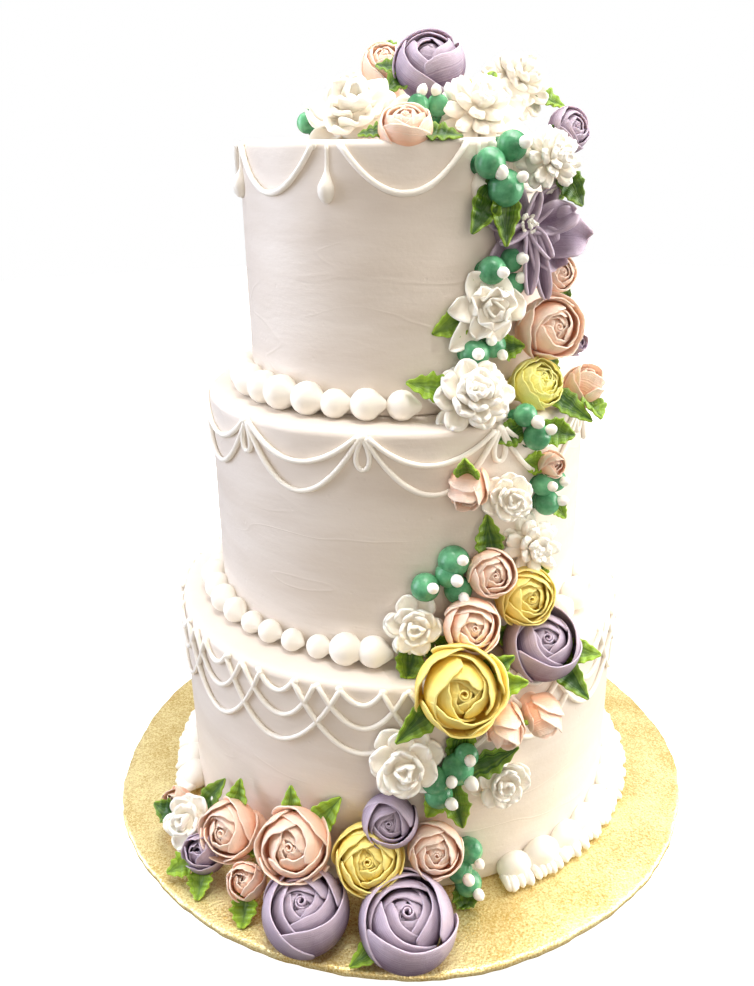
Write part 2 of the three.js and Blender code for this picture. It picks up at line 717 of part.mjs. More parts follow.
  return {
    ...bloom,
    centre: pointAt(bearing, distance, height),
    radius: diameter / 2,
    axes: facing(bearing + turn, rise),
    spun: facing(bearing + turn, rise, spin),
  };
});

// Assembly. Flowers that press on each other are parted by a plane between them. Leaves stop at the
// tiers, at the flowers beside them and at the leaves laid before them.
const tiers = ['lower', 'middle', 'upper'];
const underBoard = new THREE.CylinderGeometry(2 * BOARD.radius, 2 * BOARD.radius, FAR, 12)
  .rotateX(Math.PI / 2).translate(0, 0, GAP - FAR / 2);
const core = join([
  ...tiers.map((tier) => tierBody(tier, GAP)),
  crownMound(2 * GAP),
  solidOf(underBoard),
]);
const bodies = BLOOMS.map((bloom) => bloomBody(bloom).subtract(core));

function partPair(i, j) {
  const between = BLOOMS[j].centre.clone().sub(BLOOMS[i].centre);
  const apart = between.length();
  const normal = between.clone().normalize();
  const [a, b] = [BLOOMS[i].radius, BLOOMS[j].radius];
  const middle = THREE.MathUtils.clamp((apart * apart + a * a - b * b) / (2 * apart), 0.2 * apart, 0.8 * apart);
  const at = (offset) => BLOOMS[i].centre.clone().addScaledVector(normal, middle + offset);
  bodies[i] = bodies[i].subtract(beyond(at(-GAP / 2), normal));
  bodies[j] = bodies[j].subtract(beyond(at(GAP / 2), normal.clone().negate()));
}

const near = (i, j) => (
  BLOOMS[i].centre.distanceTo(BLOOMS[j].centre) < 2.5 * (BLOOMS[i].radius + BLOOMS[j].radius)
);
for (let i = 0; i < BLOOMS.length; i += 1) {
  for (let j = i + 1; j < BLOOMS.length; j += 1) {
    if (near(i, j) && !bodies[i].intersect(bodies[j]).isEmpty()) partPair(i, j);
  }
}

const COVER = 0.6; // how far a cover stands out from what it covers
const flowerCovers = BLOOMS.map((bloom) => bloomCover(bloom, COVER));
const leafCovers = [];
const blooms = BLOOMS.map((bloom, i) => {
  const others = flowerCovers.filter((_, j) => j !== i && near(i, j));
  const leaves = bloom.leaves.map(([clock, length]) => {
    const covers = [core, ...others, ...leafCovers];
    const leaf = solidOf(pressedOn(leafShape(bloom, clock, length)));
    return covers.reduce((rest, cover) => rest.subtract(cover), leaf);
  });
  leafCovers.push(...bloom.leaves.map(([clock, length]) => (
    solidOf(leafShape(bloom, clock, length, COVER))
  )));
  return largestBody(join([bodies[i], ...leaves]));
});

const strings = { lower: lowerStrings, middle: middleStrings, upper: upperStrings };
const allCovers = join([...flowerCovers, ...leafCovers]);
const tierMeshes = tiers.map((tier) => {
  const piped = join(strings[tier]()).subtract(allCovers);
  const bare = tier === 'upper' ? tierBody(tier).add(crownMound()) : tierBody(tier);
  return meshOf(`tier_${tier}`, largestBody(bare.add(piped)), 'ivory');
});

part.add(board());
cake.add(
  ...tierMeshes,
  ...tiers.map((tier) => meshOf(`border_${tier}`, beadChain(tier), 'white')),
);
BLOOMS.forEach(({ name, tone }, i) => cake.add(meshOf(name, blooms[i], tone, 0.5)));

export default part;
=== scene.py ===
import math
import random
from functools import partial

import bpy
import numpy as np
from mathutils import Matrix, Vector


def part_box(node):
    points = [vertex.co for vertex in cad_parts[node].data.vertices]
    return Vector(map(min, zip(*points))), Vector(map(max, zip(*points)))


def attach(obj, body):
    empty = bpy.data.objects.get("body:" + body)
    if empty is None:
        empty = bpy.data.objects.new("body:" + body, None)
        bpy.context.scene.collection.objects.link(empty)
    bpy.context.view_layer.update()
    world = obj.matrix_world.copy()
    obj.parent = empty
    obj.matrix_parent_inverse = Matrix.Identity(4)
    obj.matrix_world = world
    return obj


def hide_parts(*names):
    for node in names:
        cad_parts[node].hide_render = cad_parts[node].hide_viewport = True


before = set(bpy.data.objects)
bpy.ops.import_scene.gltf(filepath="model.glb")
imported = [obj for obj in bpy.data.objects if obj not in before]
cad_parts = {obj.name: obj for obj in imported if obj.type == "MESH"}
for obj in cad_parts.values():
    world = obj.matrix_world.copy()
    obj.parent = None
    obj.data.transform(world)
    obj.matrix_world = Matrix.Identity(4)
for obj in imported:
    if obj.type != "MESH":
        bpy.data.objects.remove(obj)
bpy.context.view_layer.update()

# The cake is piped and iced here in millimetres, from the cake's own axis and the top of its board,
# and turned into metres where each mesh is made. A bearing is the angle in degrees round that axis,
# from the front towards +X. A rise is an angle above the horizon.

MM = 0.001
TIERS = ("lower", "middle", "upper")


def millimetres(point):
    return np.array(point, float) / MM


TIER_BOX = {tier: [millimetres(corner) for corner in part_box(f"tier_{tier}")] for tier in TIERS}
AXIS = (TIER_BOX["lower"][0] + TIER_BOX["lower"][1]) / 2
AXIS[2] = TIER_BOX["lower"][0][2]
BOARD_BOX = [millimetres(corner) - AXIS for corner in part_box("cake_board")]

# A 6, 8 and 10 inch tin and the icing on each
ICING = 4.5
WALL = {"lower": 127 + ICING, "middle": 101.6 + ICING, "upper": 76.2 + ICING}
LEDGE = {tier: TIER_BOX[tier][0][2] - AXIS[2] for tier in TIERS}
GAP = 0.2
UPPER_HEIGHT = 127.7
TOP = {
    "lower": LEDGE["middle"] - GAP,
    "middle": LEDGE["upper"] - GAP,
    "upper": LEDGE["upper"] + UPPER_HEIGHT,
}
UNDER_BOARD = -3.0  # how far into the board the foot of a flower may reach


# Directions and places

def spot(bearing, distance, height):
    """Points round the cake's axis. Any argument can be an array."""
    angle = np.radians(bearing)
    return np.stack(np.broadcast_arrays(distance * np.sin(angle), -distance * np.cos(angle), height), -1)


class Axes:
    """Right, up and out of a piece that faces a bearing and rises above the horizon."""

    def __init__(self, centre, bearing, rise, spin=0.0):
        self.centre = np.array(centre, float)
        self.out = spot(bearing, math.cos(math.radians(rise)), math.sin(math.radians(rise)))
        right = spot(bearing + 90, 1.0, 0.0)
        up = np.cross(self.out, right)
        turned = math.radians(spin)
        self.right = right * math.cos(turned) + up * math.sin(turned)
        self.up = np.cross(self.out, self.right)

    def place(self, points):
        points = np.asarray(points, float)
        return (
            self.centre
            + points[..., 0:1] * self.right
            + points[..., 1:2] * self.up
            + points[..., 2:3] * self.out
        )


def lathe(wide, height, around):
    """Rings of points about +Z, from the radius and the height of each."""
    angle = np.arange(around) * 2 * math.pi / around
    wide = np.asarray(wide, float)[:, None]
    height = np.asarray(height, float)[:, None]
    return np.stack(np.broadcast_arrays(wide * np.cos(angle), wide * np.sin(angle), height), -1)


def quads(*corners):
    return np.stack(corners, -1).reshape(-1, 4).tolist()


# Icing as a mesh

class Icing:
    """Gathers closed forms of icing.

    Each point keeps two values: lip tells a thin lip (1) from a deep fold (0), and drag is the place in
    millimetres across the fine ridges that the nozzle leaves. The petal colour uses lip to paint shade
    into the folds and light onto the thin lips.
    """

    def __init__(self):
        self.points = []
        self.faces = []
        self.lips = []
        self.drags = []
        self.count = 0

    def add(self, points, faces, lip=0.5, drag=0.0):
        points = np.asarray(points, float).reshape(-1, 3)
        self.points.append(points)
        self.faces.extend(tuple(corner + self.count for corner in face) for face in faces)
        self.lips.append(np.broadcast_to(np.asarray(lip, float).reshape(-1), (len(points),)))
        self.drags.append(np.broadcast_to(np.asarray(drag, float).reshape(-1), (len(points),)))
        self.count += len(points)

    def sheet(self, grid, thick, lip=0.5, drag=0.0):
        """A closed sheet of icing, given by the grid of points through its middle."""
        columns, rows = grid.shape[:2]
        across = np.gradient(grid, axis=0)
        along = np.gradient(grid, axis=1)
        normal = np.cross(across, along)
        normal /= np.maximum(np.linalg.norm(normal, axis=-1, keepdims=True), 1e-9)
        half = np.broadcast_to(np.asarray(thick, float), (columns, rows))[..., None] / 2
        points = np.concatenate([grid + normal * half, grid - normal * half]).reshape(-1, 3)
        front = np.arange(columns * rows).reshape(columns, rows)
        back = front + columns * rows
        rim = np.concatenate([front[:, 0], front[-1, 1:], front[-2::-1, -1], front[0, -2:0:-1]])
        ahead = np.roll(rim, -1)
        faces = quads(front[:-1, :-1], front[1:, :-1], front[1:, 1:], front[:-1, 1:])
        faces += quads(back[:-1, :-1], back[:-1, 1:], back[1:, 1:], back[1:, :-1])
        faces += quads(ahead, rim, rim + columns * rows, ahead + columns * rows)
        lips = np.broadcast_to(np.asarray(lip, float), (columns, rows)).reshape(-1)
        drags = np.broadcast_to(np.asarray(drag, float), (columns, rows)).reshape(-1)
        self.add(points, faces, np.concatenate([lips, lips]), np.concatenate([drags, drags]))

    def rings(self, grid, start, end, lip=0.5):
        """A closed form from rings of points, grid[ring][place], closed by a point at each end."""
        levels, around = grid.shape[:2]
        points = np.concatenate([grid.reshape(-1, 3), [start], [end]])
        first = levels * around
        index = np.arange(first).reshape(levels, around)
        ahead = np.roll(index, -1, axis=1)
        faces = quads(index[:-1], ahead[:-1], ahead[1:], index[1:])
        faces += [(first, j, i) for i, j in zip(index[0].tolist(), ahead[0].tolist())]
        faces += [(first + 1, i, j) for i, j in zip(index[-1].tolist(), ahead[-1].tolist())]
        lips = np.broadcast_to(np.asarray(lip, float), (levels, around)).reshape(-1)
        self.add(points, faces, np.concatenate([lips, lips[:1], lips[-1:]]))

    def cord(self, path, radius, sides=8, lip=0.5):
        """A round ridge of icing along a path, with rounded ends."""
        path = np.asarray(path, float)
        radius = np.broadcast_to(np.asarray(radius, float), (len(path),))
        along = np.gradient(path, axis=0)
        along /= np.linalg.norm(along, axis=1, keepdims=True)
        reference = path * np.array([1.0, 1.0, 0.0])
        reference /= np.maximum(np.linalg.norm(reference, axis=1, keepdims=True), 1e-9)
        side = np.cross(along, reference)
        side /= np.maximum(np.linalg.norm(side, axis=1, keepdims=True), 1e-9)
        above = np.cross(side, along)
        angle = np.arange(sides) * 2 * math.pi / sides
        grid = path[:, None] + radius[:, None, None] * (
            np.cos(angle)[None, :, None] * side[:, None] + np.sin(angle)[None, :, None] * above[:, None]
        )
        self.rings(
            grid, path[0] - along[0] * radius[0] * 0.6, path[-1] + along[-1] * radius[-1] * 0.6, lip,
        )

    def piece(self, name, node, slot, finish, smooth=1):
        """The gathered icing as one piece, which stands for a node."""
        mesh = bpy.data.meshes.new(name)
        points = (np.concatenate(self.points) + AXIS) * MM
        mesh.from_pydata(points.tolist(), [], self.faces)
        mesh.attributes.new("lip", "FLOAT", "POINT").data.foreach_set("value", np.concatenate(self.lips))
        mesh.attributes.new("drag", "FLOAT", "POINT").data.foreach_set("value", np.concatenate(self.drags))
        mesh.polygons.foreach_set("use_smooth", [True] * len(mesh.polygons))
        mesh.materials.append(finish)
        mesh.update()
        made = bpy.data.objects.new(name, mesh)
        bpy.context.scene.collection.objects.link(made)
        if smooth:
            rounding = made.modifiers.new("rounding", "SUBSURF")
            rounding.levels = smooth
            rounding.render_levels = smooth
        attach(made, "root")
        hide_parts(node)
        return made


# Petals. Each is drawn at unit radius, on a flower whose axis is +Z.

def wrapped_petal(turn, span, shell, lip_angle, draw, flare=0.0, slant=0.0, torn=0.0):
    """A petal that wraps round the flower: the grid, and how near each point is to its lip."""
    across = np.linspace(-1, 1, 21)[:, None]
    along = np.array([0, 0.25, 0.45, 0.62, 0.76, 0.87, 0.95, 1.0])[None, :]
    waves = ((4, 1.0), (11, 0.5), (27, 0.45))
    jagged = torn * sum(size * np.sin(turns * across + draw.uniform(0, 6.28)) for turns, size in waves)
    start = math.radians(125)
    drop = 26 * np.abs(across) ** 3
    end = np.radians(lip_angle + slant * across + drop + jagged)
    polar = start + (end - start) * along
    turned_out = flare * np.clip((along - 0.7) / 0.3, 0, 1) ** 2
    size = shell * (1 + 0.045 * across) + turned_out + 0.012 * jagged * along**3
    angle = turn + span * across + 0 * along
    radius = size * np.sin(polar)
    height = size * np.cos(polar) * 0.95 + (1 - shell) * 0.34
    grid = np.stack([radius * np.cos(angle), radius * np.sin(angle), height], -1)
    # The second grid, lip, also paints the colour: painted shade at the petal's base, painted light at its
    # lip.
    return grid, np.broadcast_to(np.clip((along - 0.45) / 0.55, 0, 1), grid.shape[:2])


def add_heart(icing, flower, draw):
    """The rolled strip in the middle of a rose, open at its centre."""
    turns = 1.6
    wide = 0.17
    share = np.linspace(0, 1, 26)[:, None]
    along = np.linspace(0, 1, 4)[None, :]
    angle = draw.uniform(0, 6.28) + share * turns * 2 * math.pi + 0 * along
    radius = (0.05 + (wide - 0.05) * share) * (1.0 - 0.1 * along)
    height = 0.1 + along * (0.56 - 0.05 * share) + 0 * share
    grid = np.stack([radius * np.cos(angle), radius * np.sin(angle), height], -1)
    # Painted shade at the foot of the rolled strip, painted light at its top edge.
    icing.sheet(flower.shape(grid), 0.055 * flower.size, np.broadcast_to(along, grid.shape[:2]) ** 2)


def add_core(icing, flower, wide=0.82):
    """The mound of icing inside a flower, and the foot that joins it to what carries it."""
    size = flower.size
    axes = flower.axes
    dome = np.array([(0.8, -0.6), (1.0, -0.3), (0.9, -0.02), (0.62, 0.18), (0.3, 0.3)])
    mound = axes.place(lathe(dome[:, 0] * wide, dome[:, 1], 18) * size)
    # The mound takes lip 0, the deep colour: painted shade deep inside the flower.
    icing.rings(mound, axes.place([0, 0, -0.65 * size]), axes.place([0, 0, 0.34 * size]), 0.0)
    stem = np.array([(0.5, -1.0), (0.56, -0.7), (0.58, -0.35), (0.5, -0.1)])
    foot = flower.stem.place(lathe(stem[:, 0] * size, stem[:, 1] * flower.foot, 18))
    foot[..., 2] = np.maximum(foot[..., 2], UNDER_BOARD)
    end = flower.stem.place([0, 0, -flower.foot])
    end[2] = max(end[2], UNDER_BOARD)
    icing.rings(foot, end, flower.stem.place([0, 0, 0]), 0.45)


# Whorls of a flower, from the middle out: petals, shell radius, lip angle, half span in degrees,
# flare, slant
BROAD_ROSE = [
    (2, 0.27, 18, 100, 0.0, 8), (3, 0.41, 23, 78, 0.0, 12), (3, 0.57, 30, 80, 0.0, 14),
    (3, 0.77, 38, 82, 0.015, 16), (3, 1.0, 48, 86, 0.04, 18),
]
FULL_ROSE = [
    (2, 0.27, 18, 100, 0.0, 8), (3, 0.4, 24, 78, 0.015, 13), (3, 0.55, 31, 80, 0.02, 15),
    (4, 0.71, 40, 64, 0.03, 14), (4, 0.86, 50, 66, 0.045, 14), (4, 0.98, 64, 66, 0.05, 12),
]
WIDE_ROSE = [
    (2, 0.28, 16, 100, 0.0, 10), (3, 0.43, 24, 80, 0.02, 17), (3, 0.61, 34, 80, 0.03, 20),
    (3, 0.8, 45, 84, 0.055, 21), (4, 0.96, 62, 66, 0.1, 17),
]
SMALL_ROSE = [
    (3, 0.32, 20, 76, 0.01, 11), (3, 0.52, 29, 78, 0.025, 15), (4, 0.74, 41, 66, 0.04, 14),
    (4, 0.95, 56, 66, 0.05, 12),
]
TIGHT_ROSE = [
    (2, 0.42, 8, 90, 0.0, 18), (3, 0.64, 20, 76, 0.02, 22), (3, 0.84, 33, 76, 0.03, 22),
    (3, 1.0, 48, 78, 0.04, 20),
]
BUD = [
    (2, 0.36, 14, 95, 0.04, 10), (3, 0.6, 20, 76, 0.08, 14), (3, 0.84, 32, 74, 0.16, 14),
    (3, 0.94, 62, 60, 0.1, 14),
]


def pipe_whorls(flower, icing, draw, whorls, torn, thick):
    size = flower.size
    for count, shell, lip_angle, half_span, flare, slant in whorls:
        first = draw.uniform(0, 6.28)
        for i in range(count):
            turn = first + 2 * math.pi * (i + draw.uniform(-0.12, 0.12)) / count
            grid, lip = wrapped_petal(
                turn, math.radians(half_span), shell * draw.uniform(0.96, 1.04),
                lip_angle + draw.uniform(-5, 5), draw, flare=flare, slant=slant, torn=torn,
            )
            along = np.linspace(0, 1, 8)[None, :]
            drag = draw.uniform(0, 90) + 1.6 * size * along
            icing.sheet(flower.shape(grid), size * thick * (1.15 - 0.6 * lip), lip, drag)


def pipe_rose(flower, icing, draw, whorls, torn, thick=0.085):
    add_core(icing, flower)
    add_heart(icing, flower, draw)
    pipe_whorls(flower, icing, draw, whorls, torn, thick)


pipe_broad_rose = partial(pipe_rose, whorls=BROAD_ROSE, torn=0.5)
pipe_full_rose = partial(pipe_rose, whorls=FULL_ROSE, torn=1.5)
pipe_wide_rose = partial(pipe_rose, whorls=WIDE_ROSE, torn=1.9)
pipe_frilled_rose = partial(pipe_rose, whorls=FULL_ROSE, torn=3.6, thick=0.07)
pipe_small_rose = partial(pipe_rose, whorls=SMALL_ROSE, torn=1.6, thick=0.105)


def pipe_tight_rose(flower, icing, draw):
    """A rose that is still closed over its heart."""
    add_core(icing, flower)
    pipe_whorls(flower, icing, draw, TIGHT_ROSE, 0.6, 0.085)


def pipe_bud(flower, icing, draw):
    """A furled bud, longer than it is wide."""
    flower.stretch = np.array([0.92, 0.92, 1.3])
    add_core(icing, flower, wide=0.55)
    pipe_whorls(flower, icing, draw, BUD, 1.8, 0.1)


def tongue(turn, root, length, width, rise, curl, cup, tip, ruffle, draw):
    """A petal that points away from the flower's axis. tip: 0 for a round end, 1 for a pointed one."""
    across = np.linspace(-1, 1, 7)[:, None]
    along = np.linspace(0, 1, 8)[None, :]
    swell = 0.5 + 0.5 * np.sin(along / 0.6 * math.pi / 2)
    rounded = np.where(along < 0.6, swell, np.sqrt(np.clip(1.02 - ((along - 0.6) / 0.4) ** 2, 0, 1)))
    narrowed = np.clip(1 - (along - 0.45) / 0.55, 0, 1) ** 0.7
    pointed = np.where(along < 0.45, 0.45 + 0.55 * along / 0.45, narrowed)
    half = width / 2 * ((1 - tip) * rounded + tip * pointed) + 0.02 * width
    bend = math.radians(rise) + math.radians(curl) * along[0]
    step = length / 7
    forward = np.concatenate([[0], np.cumsum(np.cos(bend[1:]) * step)])
    lift = np.concatenate([[0], np.cumsum(np.sin(bend[1:]) * step)])
    swing = np.sin(9 * along + draw.uniform(0, 6.28) + 1.5 * np.sign(across))
    waves = ruffle * width * np.abs(across) * swing
    cupped = cup * width * across**2 + waves
    lean = draw.uniform(-0.2, 0.2) * width * along
    outwards = root[0] + forward[None, :] - np.sin(bend)[None, :] * cupped
    sideways = half * across + lean
    height = root[1] + lift[None, :] + np.cos(bend)[None, :] * cupped
    outwards, sideways, height = np.broadcast_arrays(outwards, sideways, height)
    grid = np.stack([
        outwards * math.cos(turn) - sideways * math.sin(turn),
        outwards * math.sin(turn) + sideways * math.cos(turn),
        height,
    ], -1)
    # The second grid, lip, also paints the colour: painted shade at the petal's root, painted light at its
    # end.
    return grid, np.broadcast_to(along, grid.shape[:2]) ** 1.5


def pipe_tongues(flower, icing, draw, rows, tip, cup, thick, ruffle=0.0, wild=9):
    """rows: petals, root radius and height, length, width, rise, curl"""
    size = flower.size
    for count, radius, height, length, width, rise, curl in rows:
        first = draw.uniform(0, 6.28)
        for i in range(count):
            turn = first + 2 * math.pi * (i + draw.uniform(-0.18, 0.18)) / count
            grown = draw.uniform(0.86, 1.1)
            grid, lip = tongue(
                turn, (radius, height), length * grown, width * draw.uniform(0.85, 1.15),
                rise + draw.uniform(-wild, wild), curl, cup, tip, ruffle, draw,
            )
            drag = draw.uniform(0, 90) + width * size * np.linspace(-1, 1, 7)[:, None]
            icing.sheet(flower.shape(grid), size * thick * (1.15 - 0.3 * lip), lip, drag)


# Rows of petals of a white flower, from the outside in, as pipe_tongues reads them
POM_ROWS = [
    (8, 0.3, -0.44, 0.68, 0.58, -16, 20), (8, 0.3, -0.24, 0.66, 0.56, 2, 24),
    (7, 0.26, -0.05, 0.6, 0.54, 20, 24),
    (6, 0.18, 0.11, 0.52, 0.5, 40, 20), (4, 0.1, 0.23, 0.44, 0.46, 60, 14),
    (2, 0.02, 0.29, 0.36, 0.4, 82, 6),
]
THICK_WHITE_ROWS = [
    (9, 0.3, -0.34, 0.72, 0.42, -10, 12), (9, 0.28, -0.14, 0.7, 0.42, 10, 14),
    (7, 0.2, 0.05, 0.6, 0.4, 30, 16),
    (5, 0.1, 0.2, 0.46, 0.36, 54, 10), (2, 0.02, 0.28, 0.34, 0.32, 80, 6),
]
BROAD_WHITE_ROWS = [
    (6, 0.2, -0.4, 0.8, 0.7, -8, 26), (6, 0.2, -0.18, 0.72, 0.68, 14, 28),
    (5, 0.14, 0.02, 0.58, 0.6, 36, 26),
    (3, 0.05, 0.16, 0.44, 0.5, 62, 16),
]
TORN_WHITE_ROWS = [
    (7, 0.2, -0.34, 1.0, 0.66, -10, 16), (6, 0.18, -0.12, 0.84, 0.66, 14, 20),
    (5, 0.1, 0.04, 0.6, 0.6, 38, 20),
    (4, 0.04, 0.14, 0.46, 0.5, 62, 14),
]
CENTRE_ROWS = [(6, 0.03, 0.1, 0.24, 0.16, 30, 20), (4, 0.0, 0.16, 0.2, 0.14, 65, 10)]


# Petals one by one: clock angle, root height, length, width, rise, curl, cup, tip, ruffle
STAR_PETALS = [
    (228, -0.15, 1.22, 0.62, 4, -22, 0.4, 0.3, 0.16), (284, -0.1, 1.45, 0.34, 12, -40, 0.95, 0.2, 0.05),
    (271, -0.05, 1.3, 0.3, 18, -42, 0.95, 0.2, 0.05), (341, -0.2, 1.4, 1.05, 12, -18, 0.15, 0.05, 0.3),
    (316, -0.2, 1.1, 0.8, 2, -10, 0.25, 0.1, 0.3), (45, -0.15, 0.98, 0.4, 14, -8, 0.7, 0.4, 0.12),
    (112, -0.15, 0.95, 0.4, 10, -8, 0.7, 0.4, 0.12), (176, -0.15, 0.86, 0.4, 8, -14, 0.6, 0.4, 0.2),
    (10, -0.1, 1.05, 0.66, 20, -20, 0.4, 0.1, 0.25), (205, 0.0, 0.7, 0.28, 26, -30, 0.8, 0.3, 0.1),
    (75, 0.0, 0.66, 0.26, 30, -20, 0.8, 0.3, 0.1), (305, 0.0, 0.76, 0.3, 24, -30, 0.8, 0.3, 0.1),
]
DRAWN_WHITE_PETALS = [
    (124, -0.2, 1.08, 0.86, 8, 6, 0.15, 0.4, 0.22), (181, -0.15, 1.12, 0.8, 8, 4, 0.15, 0.45, 0.22),
    (224, -0.15, 1.5, 0.76, 6, -6, 0.25, 0.6, 0.2), (250, -0.1, 0.9, 0.7, 14, 4, 0.25, 0.3, 0.22),
    (298, -0.2, 0.88, 0.94, 10, 14, 0.15, 0.12, 0.22), (22, -0.25, 0.98, 1.0, 6, 14, 0.15, 0.1, 0.22),
    (66, -0.2, 0.95, 0.96, 10, 14, 0.15, 0.15, 0.22), (150, 0.0, 0.82, 0.84, 32, 16, 0.2, 0.12, 0.24),
    (255, 0.0, 0.74, 0.84, 34, 18, 0.2, 0.1, 0.24), (345, 0.0, 0.74, 0.88, 32, 20, 0.2, 0.1, 0.24),
    (85, 0.05, 0.7, 0.8, 38, 20, 0.2, 0.1, 0.24), (130, 0.13, 0.5, 0.62, 60, 12, 0.25, 0.1, 0.2),
    (250, 0.13, 0.48, 0.62, 62, 12, 0.25, 0.1, 0.2), (10, 0.13, 0.5, 0.62, 58, 12, 0.25, 0.1, 0.2),
]


def pipe_petals(flower, icing, draw, core, petals):
    """Petals set one by one, so that they lie as they do on this cake."""
    add_core(icing, flower, wide=core)
    size = flower.size
    for clock, height, length, width, rise, curl, cup, tip, ruffle in petals:
        petal, lip = tongue(
            math.radians(clock), (0.06, height), length, width, rise, curl, cup, tip, ruffle, draw,
        )
        grid = press_out(flower.shape(petal), 2.6)
        across = np.linspace(-1, 1, 7)[:, None]
        drag = draw.uniform(0, 90) + 1.3 * width * size * across
        # Painted highlight: paler along the petal's raised edges and towards its tip.
        pale = 0.35 * lip + 0.65 * np.abs(across) ** 1.5
        icing.sheet(grid, size * 0.085 * (1.15 - 0.3 * lip), pale, drag)


def pipe_rows(flower, icing, draw, core, rows, **petal):
    add_core(icing, flower, wide=core)
    pipe_tongues(flower, icing, draw, rows, **petal)


pipe_pom = partial(pipe_rows, core=0.5, rows=POM_ROWS, tip=0.0, cup=0.24, thick=0.15, ruffle=0.05)
pipe_thick_white = partial(
    pipe_rows, core=0.5, rows=THICK_WHITE_ROWS, tip=0.0, cup=0.1, thick=0.2, wild=12,
)
pipe_broad_white = partial(
    pipe_rows, core=0.5, rows=BROAD_WHITE_ROWS, tip=0.0, cup=0.16, thick=0.12, ruffle=0.04,
)
pipe_torn_white = partial(
    pipe_rows, core=0.45, rows=TORN_WHITE_ROWS, tip=0.12, cup=0.2, thick=0.09, ruffle=0.13, wild=14,
)
pipe_star = partial(pipe_petals, core=0.3, petals=STAR_PETALS)
pipe_drawn_white = partial(pipe_petals, core=0.45, petals=DRAWN_WHITE_PETALS)


def pipe_star_centre(flower, icing, draw):
    pipe_tongues(flower, icing, draw, CENTRE_ROWS, tip=0.2, cup=0.2, thick=0.09)


def add_ball(icing, axes, radius, peak=0.2, squash=1.0, lip=0.5, around=16, lean=0.0):
    """A ball of icing with the little peak that the nozzle leaves."""
    polar = np.linspace(0, math.pi, 11)[1:-1][::-1]
    lift = peak * np.clip(1 - polar / 0.7, 0, 1) ** 2
    grid = lathe(np.sin(polar), np.cos(polar) * squash + lift, around) * radius
    grid[..., 0] += lean * lift[:, None] * radius
    top = np.array([lean * peak * 1.3, 0, squash + peak * 1.25]) * radius
    icing.rings(axes.place(grid), axes.place([0, 0, -squash * radius]), axes.place(top), lip)


def pipe_berries(flower, icing, draw):
    for x, y, radius in flower.berries:
        centre = flower.stem.place([x, y, 0])
        add_ball(icing, Axes(centre, *flower.look), radius, peak=0.1, squash=0.96, around=20)
        axes = Axes(centre, flower.bearing, flower.rise)
        foot = axes.place(lathe([0.75 * radius, 0.72 * radius], [-flower.foot, -0.45 * radius], 12))
        foot[..., 2] = np.maximum(foot[..., 2], UNDER_BOARD)
        icing.rings(foot, foot[0].mean(0), axes.place([0, 0, -0.3 * radius]), 0.2)


def pipe_drops(flower, icing, draw):
    """The white drops on a cluster of berries, each on the side of its ball that shows."""
    for x, y, radius in flower.drops:
        ball = min(flower.berries, key=lambda near: math.hypot(x - near[0], y - near[1]) / near[2])
        away = math.hypot(x - ball[0], y - ball[1])
        kept = min(1.0, 0.72 * ball[2] / max(away, 0.1))
        side = (x - ball[0]) * kept
        above = (y - ball[1]) * kept
        depth = math.sqrt(ball[2] ** 2 - side**2 - above**2)
        seen = Axes(flower.stem.place([ball[0], ball[1], 0]), *flower.look)
        direction = np.array([side, above, depth]) / ball[2]
        centre = seen.place(direction * (ball[2] + 0.45 * radius))
        out = seen.place(direction) - seen.centre
        bearing = math.degrees(math.atan2(out[0], -out[1]))
        rise = math.degrees(math.asin(np.clip(out[2], -1, 1)))
        axes = Axes(centre, bearing + draw.uniform(-8, 8), rise - 6, draw.uniform(0, 360))
        lean = draw.uniform(-0.8, 0.8)
        add_ball(icing, axes, radius * 0.98, peak=0.13, squash=1.16, lip=1.0, around=14, lean=lean)


# Leaves
def add_leaf(icing, flower, clock, length, draw):
    """A piped leaf: a broad pleated blade with a groove down its middle and a pointed tip."""
    axes = flower.axes
    angle = math.radians(clock)
    along_axis = axes.right * math.cos(angle) + axes.up * math.sin(angle)
    across_axis = np.cross(along_axis, axes.out)
    root = 0.45 * flower.size
    reach = 0.55 * flower.size + length
    across = np.linspace(-1, 1, 9)[:, None]
    along = np.linspace(0, 1, 19)[None, :]
    outline = 0.55 + 0.45 * np.sin(math.pi * np.clip(along / 0.5, 0, 1) / 2)
    outline = outline * np.clip((1.02 - along) / 0.55, 0, 1) ** 0.8
    pleats = draw.uniform(4.2, 5.4)
    phase = draw.uniform(0, 6.28)
    teeth = np.sin(2 * math.pi * pleats * along + phase + 0.6 * np.sign(across))
    half = np.clip(0.62 * length, 4.2, 7.5) * outline * (1 + 0.14 * teeth * np.abs(across))
    pleat = 0.26 * half * np.abs(across) ** 0.8 * np.sin(2 * math.pi * pleats * along + phase + 1.6)
    fold = 0.5 * half * np.abs(across) ** 1.2
    curl = draw.uniform(-0.05, 0.22) * length * along**2
    side = half * across + draw.uniform(-0.12, 0.12) * length * along**2
    height = fold + pleat + curl - 0.25 * flower.size
    grid = (
        axes.centre
        + (root + reach * along)[..., None] * along_axis
        + side[..., None] * across_axis
        + height[..., None] * axes.out
    )
    grid = press_out(grid)
    # Painted shade in the groove and at the base, painted light towards the edges and the tip. The per-leaf
    # offset is each leaf's own random tone.
    pale = 0.1 + 0.9 * np.abs(across) ** 1.2 * (0.4 + 0.6 * along)
    lip = np.clip(pale + draw.uniform(-0.45, 0.2), 0, 1)
    drag = draw.uniform(0, 90) + 5 * np.abs(across) + 2.5 * along
    icing.sheet(grid, 1.5 * (1.1 - 0.45 * np.abs(across)) + 0 * along, lip, drag)


